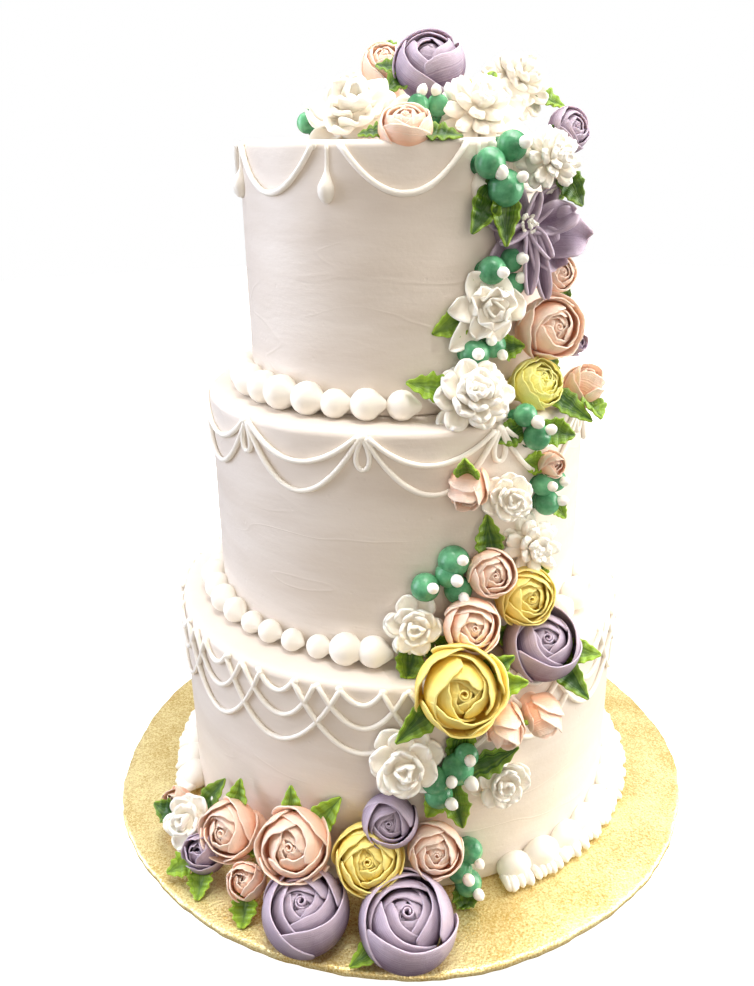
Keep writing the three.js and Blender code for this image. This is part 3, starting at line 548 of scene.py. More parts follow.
def press_out(points, clear=0.8):
    """Points moved out of the tiers and the board to their nearest face."""
    points = np.array(points, float)
    for tier in TIERS:
        distance = np.hypot(points[..., 0], points[..., 1])
        outwards = WALL[tier] + clear - distance
        upwards = TOP[tier] + clear - points[..., 2]
        inside = (outwards > 0) & (upwards > 0) & (points[..., 2] > LEDGE[tier] - clear)
        rises = inside & (upwards < outwards)
        moves = inside & ~rises
        points[..., 2] = np.where(rises, points[..., 2] + upwards, points[..., 2])
        grown = np.where(moves, 1 + outwards / np.maximum(distance, 1e-6), 1.0)
        points[..., 0] *= grown
        points[..., 1] *= grown
    points[..., 2] = np.maximum(points[..., 2], clear)
    return points


# Which flower goes where

class Flower:
    """A flower, which stands on its foot but turns its face to where it was piped from."""

    def __init__(self, name, piped, slot, at, face, leaves=(), foot=20, berries=(), drops=(), look=None):
        bearing, distance, height, across = at
        turn, rise, spin = face
        self.name = name
        self.piped = piped
        self.slot = slot
        self.size = across / 2
        self.bearing = bearing + turn
        self.rise = rise
        centre = spot(bearing, distance, height)
        self.stem = Axes(centre, self.bearing, rise)
        self.look = look or (0.5 * self.bearing, max(rise, 12))
        self.axes = Axes(centre, self.look[0], self.look[1], spin)
        self.stretch = np.array([1.0, 1.0, 1.0])
        self.leaves = leaves
        self.foot = foot
        self.berries = berries
        self.drops = drops

    def shape(self, grid):
        """Points of a petal at unit radius, put in their place."""
        return self.axes.place(grid * self.stretch * self.size)


PURPLE = "purple_icing"
PEACH = "peach_icing"
YELLOW = "yellow_icing"
WHITE = "white_icing"
JADE = "jade_icing"
LEAF = "leaf_icing"

# at: bearing, distance from the axis, height above the board, diameter. face: turn from the bearing,
# rise, spin. leaves: clock angle, length beyond the flower. berries, drops: across, up, radius.
FLOWERS = [
    # On the crown
    Flower("rose_purple_crown", pipe_tight_rose, PURPLE, (75, 19, 413, 34), (-78, 62, 20),
           ((188, 13), (150, 12)), 33, look=(-4, 52)),
    Flower("pom_white_crown_front", pipe_thick_white, WHITE, (45, 57, 393, 38), (-10, 42, 0), ((60, 11),),
           18),
    Flower("pom_white_crown_left", pipe_torn_white, WHITE, (-24, 46, 392, 48), (10, 50, 15), (), 16),
    Flower("rosette_peach_crown_front", pipe_small_rose, PEACH, (4, 71, 384, 25), (0, 30, 0),
           ((178, 9), (345, 14)), 12, look=(2, 60)),
    Flower("berries_crown_front", pipe_berries, JADE, (20, 47, 394, 18), (0, 50, 0), (), 16,
           berries=((-5, 0, 5.5), (5, 0, 5.5)), drops=((-3.5, 3, 2.6), (4, 2, 2.6))),
    Flower("pom_white_crown_back", pipe_pom, WHITE, (102, 68, 407, 38), (0, 55, 0), ((330, 12),), 28,
           look=(40, 40)),
    Flower("rosette_peach_crown_back", pipe_small_rose, PEACH, (-168, 20, 415, 26), (150, 55, 0),
           ((95, 12),), 34),
    Flower("rosette_yellow_crown", pipe_small_rose, YELLOW, (110, 44, 398, 24), (30, 60, 0), ((120, 12),),
           18),
    Flower("berries_crown_left", pipe_berries, JADE, (-75, 45, 388, 14), (0, 45, 0), (), 10,
           berries=((0, -1, 5.5), (5, 4, 5)), drops=((0, 3, 2.4),)),
    Flower("rosette_lilac_crown_right", pipe_small_rose, PURPLE, (74, 90, 382, 22), (0, 25, 0),
           ((200, 10),), 14),
    # On the upper tier's wall
    Flower("berries_upper_high", pipe_berries, JADE, (34, 88, 367, 30), (0, 5, 0), ((243, 18), (272, 20)),
           14,
           berries=((-7.5, 2, 7.3), (5.5, 9, 7.3), (1, -9, 8.8)),
           drops=((-3.4, -3.6, 3.4), (8, 9, 3), (5.5, -6, 2.6))),
    Flower("pom_white_upper", pipe_thick_white, WHITE, (49, 97, 370, 31), (0, 10, 10), ((300, 12),), 22),
    Flower("star_purple_upper", pipe_star, PURPLE, (44, 89, 340, 46), (5, 5, 0), ((35, 5),), 12,
           look=(14, 15)),
    Flower("bud_purple_upper", pipe_bud, PURPLE, (70, 93, 331, 20), (10, 0, 30), (), 16),
    Flower("rose_peach_upper", pipe_wide_rose, PEACH, (52, 97, 291, 32), (-10, 12, 40), ((12, 8),), 22),
    Flower("rosette_peach_upper", pipe_small_rose, PEACH, (59, 94, 316, 20), (-10, 15, 0), (), 18),
    Flower("berries_upper_middle", pipe_berries, JADE, (37, 87, 320, 24), (0, 5, 0), ((200, 9),), 12,
           berries=((-8.5, 1.5, 7), (4, 5, 6), (5, -6.5, 5.8)),
           drops=((-6.8, 0, 2.8), (6, 5, 3), (6, -4.3, 2.8))),
    Flower("open_white_upper", pipe_drawn_white, WHITE, (30, 89, 304, 35), (0, 12, 0), ((200, 12),), 14,
           look=(8, 12)),
    # On the middle tier's ledge
    Flower("pom_white_ledge", pipe_pom, WHITE, (22, 99, 266, 42), (0, 35, 0), ((163, 12),), 22),
    Flower("rosette_yellow_ledge", pipe_frilled_rose, YELLOW, (46, 98, 265, 26), (0, 20, 0),
           ((35, 10), (318, 22)), 17, look=(30, 34)),
    Flower("bud_peach_ledge", pipe_bud, PEACH, (62, 109, 258, 22), (5, 40, 0), ((250, 12),), 13,
           look=(44, 62)),
    Flower("bud_purple_ledge", pipe_bud, PURPLE, (66, 100, 279, 15), (10, 10, 0), ((150, 8),), 20),
    Flower("berries_ledge_high", pipe_berries, JADE, (28, 88, 284, 24), (0, 5, 0), ((5, 11),), 12,
           berries=((-4, -1, 7.5), (6.5, 2, 6.5)), drops=((4, 4, 2.8), (-5, -1, 3), (9, -2.5, 2.6))),
    Flower("berries_ledge_low", pipe_berries, JADE, (37, 110, 249, 22), (0, 20, 0),
           ((190, 11), (340, 13)), 12,
           berries=((-3.5, 6, 6), (1, -5.5, 7)), drops=((-0.5, 2.5, 3.2), (5, -3.3, 2.8))),
    # On the middle tier's wall
    Flower("bud_peach_middle", pipe_bud, PEACH, (18, 111, 225, 21), (-10, 10, 60), ((30, 10),), 10,
           look=(-12, -40)),
    Flower("bud_peach_middle_small", pipe_bud, PEACH, (44, 111, 226, 15), (0, 10, 0), ((165, 10),), 10),
    Flower("open_white_middle", pipe_broad_white, WHITE, (28, 116, 217, 28), (0, 12, 0), (), 16),
    Flower("berries_middle_high", pipe_berries, JADE, (43, 112, 213, 22), (0, 5, 0), ((300, 8),), 12,
           berries=((-4, 4, 6), (5.4, 4, 6), (-1.5, -6, 6.8)),
           drops=((-3, 4, 2.6), (6.5, 4, 2.6), (4.5, -5, 2.8))),
    Flower("pom_white_middle", pipe_thick_white, WHITE, (36, 116, 187, 33), (0, 12, 12), (), 18),
    Flower("rosette_peach_middle", pipe_small_rose, PEACH, (23, 118, 180, 25), (0, 15, 0), ((92, 17),), 18),
    Flower("berries_middle_low", pipe_berries, JADE, (12, 111, 178, 28), (0, 5, 0), (), 12,
           berries=((4.8, 7.9, 8.3), (-9.8, -4.3, 7.5), (2.5, 1.5, 7.4), (6.8, -7.3, 7.4)),
           drops=((7.4, 10, 2.8), (-7.5, -3, 2.9), (4.5, 0.3, 3.2), (8.1, -9, 2.7))),
    Flower("rose_yellow_middle", pipe_full_rose, YELLOW, (32, 121, 164, 30), (0, 15, 70), ((340, 9),), 22),
    Flower("rosette_peach_middle_low", pipe_small_rose, PEACH, (17, 124, 156, 28), (0, 20, 0), (), 24),
    # On the lower tier's ledge and wall
    Flower("rose_purple_lower", pipe_broad_rose, PURPLE, (35, 128, 138, 38), (0, 25, 0),
           ((158, 10), (342, 14), (302, 17)), 26, look=(12, 45)),
    Flower("rose_yellow_lower", pipe_wide_rose, YELLOW, (12, 142, 133, 43), (0, 22, 0),
           ((0, 13), (25, 10), (215, 19)), 26),
    Flower("open_white_lower_left", pipe_broad_white, WHITE, (4, 117, 154, 33), (-5, 20, 0),
           ((262, 14), (318, 12)), 16),
    Flower("bud_peach_lower", pipe_bud, PEACH, (21, 143, 110, 22), (15, -25, 0), ((320, 10),), 15,
           look=(12, -35)),
    Flower("bud_peach_lower_right", pipe_bud, PEACH, (31, 141, 107, 22), (10, -10, 0), (), 14,
           look=(24, -30)),
    Flower("pom_white_lower", pipe_broad_white, WHITE, (1, 142, 91, 40), (-5, 15, 0), (), 18),
    Flower("berries_lower", pipe_berries, JADE, (11, 139, 80, 30), (0, 5, 0),
           ((75, 18), (15, 22), (240, 12), (277, 15)), 14,
           berries=((3, 4, 8.6), (-8.5, -1.3, 7.6), (-7, -9.5, 7.5), (7.5, 11, 6.5)),
           drops=((8, 11.7, 3), (-0.8, 1.8, 3), (9, -1, 3.6), (-2.5, -11, 3.2))),
    Flower("open_white_lower", pipe_broad_white, WHITE, (23, 136, 67, 34), (5, 0, 30), (), 10),
    # Round the foot, on the board
    Flower("rose_yellow_base", pipe_full_rose, YELLOW, (-6, 150, 39, 35), (0, 32, 30), (), 28),
    Flower("rosette_purple_base", pipe_broad_rose, PURPLE, (-2, 143, 58, 27), (-5, 25, 0), (), 20),
    Flower("rosette_peach_base", pipe_small_rose, PEACH, (7, 148, 42, 28), (0, 25, 0), (), 24),
    Flower("rose_peach_base", pipe_wide_rose, PEACH, (-21, 152, 41, 39), (0, 35, 0),
           ((105, 10), (48, 14)), 30),
    Flower("rose_purple_base_front", pipe_broad_rose, PURPLE, (1, 167, 16, 47), (0, 45, 0), ((212, 11),),
           20, look=(6, 64)),
    Flower("rose_purple_base_left", pipe_broad_rose, PURPLE, (-17, 167, 15, 43), (0, 45, 50), (), 18,
           look=(-8, 66)),
    Flower("berries_base", pipe_berries, JADE, (14, 142, 21, 24), (0, 15, 0), ((268, 16),), 14,
           berries=((3.2, 10, 7), (1, -7.6, 7.5), (-3, 0, 7)),
           drops=((-0.5, -1, 3.2), (4.4, -10, 3), (8, 4, 2.6))),
    Flower("rose_peach_base_left", pipe_wide_rose, PEACH, (-38, 150, 30, 33), (-10, 25, 0),
           ((88, 11), (335, 8)), 24),
    Flower("bud_peach_base", pipe_bud, PEACH, (-30, 162, 15, 22), (0, 50, 0), ((280, 13),), 14),
    Flower("bud_purple_base", pipe_bud, PURPLE, (-42, 161, 15, 24), (-5, 50, 0), ((222, 12), (285, 13)),
           14),
    Flower("open_white_base", pipe_broad_white, WHITE, (-49, 157, 22, 38), (0, 45, 0),
           ((70, 11), (182, 12)), 22, look=(-30, 40)),
    Flower("bud_peach_base_left", pipe_bud, PEACH, (-60, 152, 14, 18), (0, 45, 0), (), 14),
]


# Shader groups. Each puts out only values, colours and normals.

def new_group(name, inputs, outputs):
    group = bpy.data.node_groups.new(name, "ShaderNodeTree")
    for label, kind, default in inputs:
        socket = group.interface.new_socket(label, in_out="INPUT", socket_type=kind)
        if default is not None:
            socket.default_value = default
    for label, kind in outputs:
        group.interface.new_socket(label, in_out="OUTPUT", socket_type=kind)
    return group, group.nodes.new("NodeGroupInput"), group.nodes.new("NodeGroupOutput")


def maths(tree, operation, *values, clamp=False):
    """The result of a maths node on links or plain numbers."""
    made = tree.nodes.new("ShaderNodeMath")
    made.operation = operation
    made.use_clamp = clamp
    for socket, value in zip(made.inputs, values):
        if isinstance(value, float):
            socket.default_value = value
        else:
            tree.links.new(value, socket)
    return made.outputs[0]


def spread(tree, value, low, high):
    """A value as 0 at low and 1 at high."""
    made = tree.nodes.new("ShaderNodeMapRange")
    made.inputs["From Min"].default_value = low
    made.inputs["From Max"].default_value = high
    tree.links.new(value, made.inputs["Value"])
    return made.outputs["Result"]


def blend(tree, share, first, second):
    made = tree.nodes.new("ShaderNodeMix")
    made.data_type = "RGBA"
    tree.links.new(share, made.inputs["Factor"])
    tree.links.new(first, made.inputs[6])
    tree.links.new(second, made.inputs[7])
    return made.outputs[2]


def object_place(tree):
    return tree.nodes.new("ShaderNodeTexCoord").outputs["Object"]


def mesh_value(tree, name):
    made = tree.nodes.new("ShaderNodeAttribute")
    made.attribute_name = name
    return made.outputs["Fac"]


def noise(tree, where, scale, detail, roughness=0.5, dimensions="3D"):
    made = tree.nodes.new("ShaderNodeTexNoise")
    made.noise_dimensions = dimensions
    made.inputs["Scale"].default_value = scale
    made.inputs["Detail"].default_value = detail
    made.inputs["Roughness"].default_value = roughness
    tree.links.new(where, made.inputs["W" if dimensions == "1D" else "Vector"])
    return made.outputs["Fac"]


def cell_distance(tree, where, scale):
    made = tree.nodes.new("ShaderNodeTexVoronoi")
    made.inputs["Scale"].default_value = scale
    tree.links.new(where, made.inputs["Vector"])
    return made.outputs["Distance"]


def hand_mixed_painted_light_group():
    """Icing with painted shade: deep colour in the folds, painted light: pale colour at the lips, plus
    hand-mixed streaks and ridges left by the nozzle.
    """
    group, given, result = new_group("hand mixed icing with painted shade and light", [
        ("Deep", "NodeSocketColor", None), ("Pale", "NodeSocketColor", None),
        ("Streaks", "NodeSocketFloat", 0.2),
    ], [("Color", "NodeSocketColor"), ("Height", "NodeSocketFloat")])
    where = object_place(group)
    clouds = noise(group, where, 110.0, 4.0, 0.6)
    grain = noise(group, where, 1100.0, 3.0, 0.6)
    ridges = noise(group, mesh_value(group, "drag"), 1.1, 3.0, 0.65, dimensions="1D")
    uneven = maths(group, "SUBTRACT", maths(group, "ADD", clouds, ridges), 1.0)
    lip = mesh_value(group, "lip")
    # Painted shade and light: low lip (folds, cores) takes the deep colour and high lip (thin lips) the
    # pale one. The mixing streaks are added on top.
    streaks_and_painted_light = maths(group, "MULTIPLY_ADD", uneven, given.outputs["Streaks"], lip, clamp=True)
    mixed = blend(group, streaks_and_painted_light, given.outputs["Deep"], given.outputs["Pale"])
    grained = maths(group, "MULTIPLY_ADD", grain, 0.16, ridges)
    height = maths(group, "MULTIPLY_ADD", clouds, 0.5, grained)
    group.links.new(mixed, result.inputs["Color"])
    group.links.new(height, result.inputs["Height"])
    return group


def spatula_group():
    """Icing smoothed by hand: broad marks round the cake, thin raised edges, a fine grain and pits."""
    group, given, result = new_group("smoothed icing", [
        ("Tone", "NodeSocketColor", None), ("Shade", "NodeSocketColor", None),
    ], [("Color", "NodeSocketColor"), ("Height", "NodeSocketFloat")])
    where = object_place(group)
    flat = group.nodes.new("ShaderNodeMapping")
    flat.inputs["Scale"].default_value = (1.0, 1.0, 4.0)
    group.links.new(where, flat.inputs["Vector"])
    broad = noise(group, flat.outputs["Vector"], 14.0, 5.0, 0.55)
    grain = noise(group, where, 420.0, 4.0, 0.6)
    pits = spread(group, cell_distance(group, where, 90.0), 0.03, 0.1)
    stroke = noise(group, flat.outputs["Vector"], 9.0, 1.5)
    edge = maths(group, "ABSOLUTE", maths(group, "SUBTRACT", stroke, 0.5))
    kept = spread(group, noise(group, where, 11.0, 1.0), 0.5, 0.62)
    mark = maths(group, "MULTIPLY", spread(group, edge, 0.012, 0.0), kept)
    marked = maths(group, "MULTIPLY_ADD", mark, 0.16, broad)
    grained = maths(group, "MULTIPLY_ADD", grain, 0.12, marked)
    height = maths(group, "MULTIPLY_ADD", pits, 0.1, grained)
    mottle = spread(group, broad, 0.35, 0.7)
    mixed = blend(group, mottle, given.outputs["Tone"], given.outputs["Shade"])
    group.links.new(mixed, result.inputs["Color"])
    group.links.new(height, result.inputs["Height"])
    return group


def new_material(name):
    material = bpy.data.materials.new(name)
    material.use_nodes = True
    tree = material.node_tree
    return material, tree, tree.nodes["Principled BSDF"]


def place_group(tree, group, **colours):
    placed = tree.nodes.new("ShaderNodeGroup")
    placed.node_tree = group
    for key, value in colours.items():
        placed.inputs[key].default_value = value
    return placed


def set_finish(shader, values):
    for key, value in values.items():
        shader.inputs[key].default_value = value


def add_relief(tree, shader, height, strength, distance):
    bump = tree.nodes.new("ShaderNodeBump")
    bump.inputs["Strength"].default_value = strength
    bump.inputs["Distance"].default_value = distance
    tree.links.new(height, bump.inputs["Height"])
    tree.links.new(bump.outputs["Normal"], shader.inputs["Normal"])


def colour(red, green, blue):
    """A shade as seen on a screen, 0 to 255, as linear light."""
    def linear(value):
        value /= 255
        return value / 12.92 if value <= 0.04045 else ((value + 0.055) / 1.055) ** 2.4
    return (linear(red), linear(green), linear(blue), 1.0)


HAND_MIXED_PAINTED_LIGHT = hand_mixed_painted_light_group()
SMOOTHED = spatula_group()


def petal_icing(name, deep, pale, streaks=0.5, roughness=0.42, soft=0.0, relief=0.55):
    material, tree, shader = new_material(name)
    mix = place_group(tree, HAND_MIXED_PAINTED_LIGHT, Deep=deep, Pale=pale, Streaks=streaks)
    tree.links.new(mix.outputs["Color"], shader.inputs["Base Color"])
    set_finish(shader, {"Roughness": roughness, "Specular IOR Level": 0.4, "Subsurface Weight": soft,
                        "Subsurface Radius": (0.004, 0.0025, 0.0018), "Subsurface Scale": 1.0})
    add_relief(tree, shader, mix.outputs["Height"], relief, 0.0009)
    return material


def wall_icing(name, tone, shade):
    material, tree, shader = new_material(name)
    smoothed = place_group(tree, SMOOTHED, Tone=tone, Shade=shade)
    tree.links.new(smoothed.outputs["Color"], shader.inputs["Base Color"])
    set_finish(shader, {"Roughness": 0.46, "Specular IOR Level": 0.4})
    add_relief(tree, shader, smoothed.outputs["Height"], 0.5, 0.002)
    return material


def gold_foil():
    """Embossed gold foil on card: a fine crumpled grain, with painted glints and painted shade in its
    colour.
    """
    material, tree, shader = new_material("gold foil")
    where = object_place(tree)
    clouds = noise(tree, where, 26.0, 5.0, 0.6)
    painted_glints = noise(tree, where, 1000.0, 2.0, 0.7)
    mottle = maths(tree, "MULTIPLY_ADD", painted_glints, 1.5, clouds)
    # Painted glints and painted shade: the colour runs from shaded gold to a pale glint over the noise.
    tint = tree.nodes.new("ShaderNodeValToRGB")
    shade, painted_glint = tint.color_ramp.elements
    shade.position = 0.25
    shade.color = colour(202, 166, 84)
    painted_glint.position = 0.75
    painted_glint.color = colour(255, 242, 186)
    tree.links.new(spread(tree, mottle, 0.65, 1.75), tint.inputs["Fac"])
    tree.links.new(tint.outputs["Color"], shader.inputs["Base Color"])
    set_finish(shader, {"Metallic": 0.7, "Roughness": 0.42})
    add_relief(tree, shader, cell_distance(tree, where, 720.0), 0.4, 0.0005)
    return material


FINISH = {
    "wall": wall_icing("smoothed ivory icing", colour(231, 221, 210), colour(222, 210, 197)),
    "string": petal_icing("piped ivory icing", colour(242, 235, 223), colour(250, 245, 235), 0.2),
    # For flower icing, the first colour is the icing with painted shade for its folds and the second is the
    # icing with painted light for its lips.
    WHITE: petal_icing(
        "white flower icing", colour(240, 231, 214), colour(252, 249, 240), 0.3, soft=0.1, relief=0.3,
    ),
    PURPLE: petal_icing("purple flower icing", colour(106, 83, 110), colour(203, 187, 204), 0.6, soft=0.1),
    PEACH: petal_icing("peach flower icing", colour(255, 194, 160), colour(255, 230, 212), 0.6, soft=0.15),
    YELLOW: petal_icing("yellow flower icing", colour(255, 218, 92), colour(255, 237, 146), 0.6, soft=0.1),
    JADE: petal_icing("jade berry icing", colour(16, 90, 52), colour(122, 200, 148), 1.7, 0.22),
    LEAF: petal_icing("leaf icing", colour(44, 82, 18), colour(164, 200, 60), 0.8, 0.34),
    "lemon": petal_icing("lemon flower icing", colour(255, 241, 118), colour(255, 250, 160), 0.5, soft=0.1),
    "gold": gold_foil(),
}


# Flowers
def pipe_flower(index, flower):
    draw = random.Random(100 + index)
    icing = Icing()
    flower.piped(flower, icing, draw)
    finish = FINISH["lemon"] if flower.piped is pipe_frilled_rose else FINISH[flower.slot]
    icing.piece(f"petals_{flower.name}", flower.name, flower.slot, finish)
    if flower.drops:
        drops = Icing()
        pipe_drops(flower, drops, draw)
        drops.piece(f"drops_{flower.name}", flower.name, WHITE, FINISH[WHITE], smooth=0)
    if flower.piped is pipe_star:
        centre = Icing()
        pipe_star_centre(flower, centre, draw)
        centre.piece(f"centre_{flower.name}", flower.name, WHITE, FINISH[WHITE])
    if flower.leaves:
        leaves = Icing()
        for clock, length in flower.leaves:
            add_leaf(leaves, flower, clock, length, draw)
        leaves.piece(f"leaves_{flower.name}", flower.name, LEAF, FINISH[LEAF])


# Tiers

def soft_noise(bearing, height, seed, scale):
    """A smooth uneven field on a wall, from a few waves, in -1 to 1."""
    draw = random.Random(seed)
    total = 0 * bearing * height
    for _ in range(7):
        turns = draw.randint(1, 6) * scale
        rise = draw.uniform(-0.05, 0.05) * scale
        total = total + np.sin(np.radians(bearing) * turns + height * rise + draw.uniform(0, 6.28))
    return total / 7


EDGE = 3.5


def ice_tier(tier, seed):
    """The smoothed wall and top of a tier, with a rounded edge that wavers as a spatula leaves it."""
    icing = Icing()
    around = 240
    bearing = np.arange(around) * 360 / around
    wall = WALL[tier]
    top = TOP[tier]
    floor = LEDGE[tier]
    profile = [(wall - 1.5, floor)]
    profile += [(wall, height) for height in np.linspace(floor + 1.5, top - EDGE, 40)]
    profile += [
        (wall - EDGE + EDGE * math.sin(angle), top - EDGE + EDGE * math.cos(angle))
        for angle in np.radians([75, 55, 35, 15])
    ]
    across = [wall - EDGE - inwards for inwards in (1.5, 4, 8, 14, 22, 32, 44, 56, 68)]
    profile += [(distance, top) for distance in across if distance > 4]
    grid = []
    for distance, height in profile:
        uneven = soft_noise(bearing, np.float64(height), seed, 1) * 0.45
        uneven = uneven + soft_noise(bearing, np.float64(height), seed + 1, 4) * 0.22
        if height >= top - 0.1:
            grid.append(spot(bearing, distance, top + uneven * 0.7))
        else:
            grid.append(spot(bearing, distance + uneven, np.full(around, height)))
    icing.rings(np.array(grid), [0, 0, floor], [0, 0, top], 0.5)
    return icing


MOUND = {"x": 27.0, "y": 8.0, "long": 50.0, "wide": 38.0, "tall": 22.0}


def add_mound(icing):
    """The mound that carries the flowers of the crown."""
    angle = np.arange(40) * 2 * math.pi / 40
    foot = TOP["upper"] - 1
    middle = np.array([MOUND["x"], MOUND["y"], foot])
    grid = []
    for reach in (1.0, 0.97, 0.85, 0.68, 0.48, 0.25):
        wobble = reach * (1 + 0.04 * np.sin(3 * angle + 5 * reach) + 0.03 * np.sin(7 * angle))
        rise = MOUND["tall"] * (1 - reach**2.2) + 0 * angle
        ring = [MOUND["long"] * wobble * np.cos(angle), MOUND["wide"] * wobble * np.sin(angle), rise]
        grid.append(middle + np.stack(ring, -1))
    icing.rings(np.array(grid), middle, middle + [0, 0, MOUND["tall"] + 1], 0.3)


# String work
STRAND = 1.4
HANG = 2.2


def add_swag(icing, tier, start, end, drop, draw, radius=STRAND):
    share = np.linspace(0, 1, 25)
    skew = draw.uniform(-0.03, 0.03)
    warped = share + skew * np.sin(math.pi * share)
    bearing = start + (end - start) * warped
    sag = drop * (1 - (2 * share - 1) ** 2) * draw.uniform(0.96, 1.04)
    height = TOP[tier] - HANG - sag
    path = spot(bearing, WALL[tier] + 0.85 * radius, height)
    thick = radius * (1 + 0.06 * np.sin(share * draw.uniform(9, 16) + draw.uniform(0, 6)))
    icing.cord(path, thick, lip=0.6)


def add_string_blob(icing, tier, bearing, height, radius):
    axes = Axes(spot(bearing, WALL[tier] + 0.3 * radius, height), bearing, 0)
    add_ball(icing, axes, radius, peak=0.1, squash=0.7, lip=0.7, around=12)


def add_teardrop(icing, tier, bearing, length, width, draw):
    """A solid drop that hangs from a joint."""
    share = np.linspace(0, 1, 12)
    belly = np.sqrt(np.clip(1 - ((share - 0.75) / 0.28) ** 2, 0.05, 1))
    swell = 0.22 + 0.78 * np.clip((share - 0.25) / 0.5, 0, 1) ** 1.4 * belly
    height = TOP[tier] - HANG - length * share
    lean = draw.uniform(-0.4, 0.4) * share
    path = spot(bearing + lean, WALL[tier] + 0.4 * swell * width / 2, height)
    icing.cord(path, swell * width / 2, sides=12, lip=0.6)


def add_loop(icing, tier, bearing, length, width, draw):
    """An open teardrop loop of string that hangs from a joint."""
    turn = np.linspace(0, 2 * math.pi, 22)
    down = (1 - np.cos(turn)) / 2
    side = np.sin(turn) * np.sqrt(down) * width / 2
    around = np.degrees(side / WALL[tier])
    path = spot(bearing + around, WALL[tier] + 0.8 * STRAND, TOP[tier] - HANG - length * down)
    icing.cord(path, STRAND * 0.95, lip=0.6)


# Bearings of the upper tier's joints, and the first bay and number of bays of the tiers under it
UPPER_JOINTS = (-72, -22, 28, 80, 132, 184, 236, 288)
MIDDLE_BAYS = (-8.5, 10)
LOWER_BAYS = (-8.0, 18)


def pipe_upper_strings(icing, draw):
    for i, (joint, following) in enumerate(zip(UPPER_JOINTS[:-1], UPPER_JOINTS[1:])):
        add_swag(icing, "upper", joint + 5, following - 5, 20 if i % 2 else 22, draw, 1.5)
        add_string_blob(icing, "upper", joint + 5, TOP["upper"] - HANG, 2.0)
        add_string_blob(icing, "upper", following - 5, TOP["upper"] - HANG, 2.0)
        add_teardrop(icing, "upper", joint, 24, 8, draw)


def pipe_middle_strings(icing, draw):
    first, count = MIDDLE_BAYS
    bay = 360 / count
    for i in range(count):
        joint = first + i * bay + draw.uniform(-0.6, 0.6)
        add_swag(icing, "middle", joint + 1.5, joint + bay - 1.5, 14.5, draw)
        add_swag(icing, "middle", joint + 0.6, joint + bay - 0.6, 29, draw)
        add_string_blob(icing, "middle", joint, TOP["middle"] - HANG, 2.6)
        add_loop(icing, "middle", joint, 16, 8.5, draw)


def pipe_lower_strings(icing, draw):
    first, count = LOWER_BAYS
    bay = 360 / count
    for i in range(count):
        middle = first + i * bay + draw.uniform(-0.4, 0.4)
        for half, drop in ((4.5, 8), (9.5, 22), (15.5, 38)):
            add_swag(icing, "lower", middle - half, middle + half, drop, draw)
        for aside, radius in ((-4.8, 2.1), (4.8, 2.1), (-9.8, 1.9)):
            add_string_blob(icing, "lower", middle + aside, TOP["lower"] - HANG, radius)


STRINGS = {"lower": pipe_lower_strings, "middle": pipe_middle_strings, "upper": pipe_upper_strings}


def make_tiers():
    for seed, tier in enumerate(TIERS):
        icing = ice_tier(tier, 11 + 3 * seed)
        if tier == "upper":
            add_mound(icing)
        icing.piece(f"icing_{tier}", f"tier_{tier}", "icing", FINISH["wall"], smooth=0)
        strings = Icing()
        STRINGS[tier](strings, random.Random(40 + seed))
        strings.piece(f"strings_{tier}", f"tier_{tier}", "icing", FINISH["string"], smooth=0)


# Borders: where each one starts and ends, its beads in a full turn, and their size
BORDERS = {
    "lower": {"from": 23.0, "to": 293.0, "count": 42, "size": 15.5},
    "middle": {"from": 50.0, "to": 358.0, "count": 44, "size": 14.5},
    "upper": {"from": 82.0, "to": 367.0, "count": 33, "size": 15.8},
}


def add_bead(icing, tier, bearing, size, draw):
    """A ball of icing drawn out to a tail that points round the cake, against the wall."""
    radius = size / 2
    centre = spot(bearing, WALL[tier] + radius * 0.62, LEDGE[tier] + radius * 0.95)
    axes = Axes(centre, bearing + 90 + draw.uniform(-10, 10), draw.uniform(-5, 6))
    along = np.array([-0.97, -0.88, -0.68, -0.4, -0.1, 0.2, 0.45, 0.65, 0.85, 1.05, 1.2])
    ball = np.sqrt(np.clip(1 - along**2, 0, 1))
    tail = np.clip(0.845 - 0.85 * (along - 0.5), 0.12, 1)
    grid = lathe(np.where(along < 0.5, ball, tail), along, 18) * radius
    icing.rings(axes.place(grid), axes.place([0, 0, -radius]), axes.place([0, 0, 1.3 * radius]), 0.6)


FINGERS = 7  # small ridges under each puff


def add_puff(icing, bearing, size, draw):
    """A broad puff of icing against the lower tier's wall."""
    radius = size / 2
    centre = spot(bearing, WALL["lower"] + radius * 0.5, radius * 0.92)
    axes = Axes(centre, bearing, 30 + draw.uniform(-6, 6))
    polar = np.linspace(0, math.pi, 11)[1:-1][::-1]
    peak = 0.14 * np.clip(1 - polar / 0.6, 0, 1) ** 2
    grid = lathe(np.sin(polar), np.cos(polar) + peak, 20) * [1.42 * radius, radius, radius]
    icing.rings(axes.place(grid), axes.place([0, 0, -radius]), axes.place([0, 0, 1.18 * radius]), 0.6)


def add_finger(icing, bearing, size, draw):
    """One of the small ridges that run out from under the puffs over the board."""
    reach = draw.uniform(0.92, 1.1)
    axes = Axes(spot(bearing, WALL["lower"], 0), bearing + draw.uniform(-9, 9), 0)
    path = axes.place(np.array([
        [0, 0.7, 0.8], [0, 0.7, 1.2], [0, 0.58, 1.52 * reach], [0, 0.42, 1.74 * reach],
        [0, 0.28, 1.88 * reach],
    ]) * size / 2)
    icing.cord(path, np.array([0.28, 0.33, 0.33, 0.3, 0.2]) * size / 2, sides=8, lip=0.6)


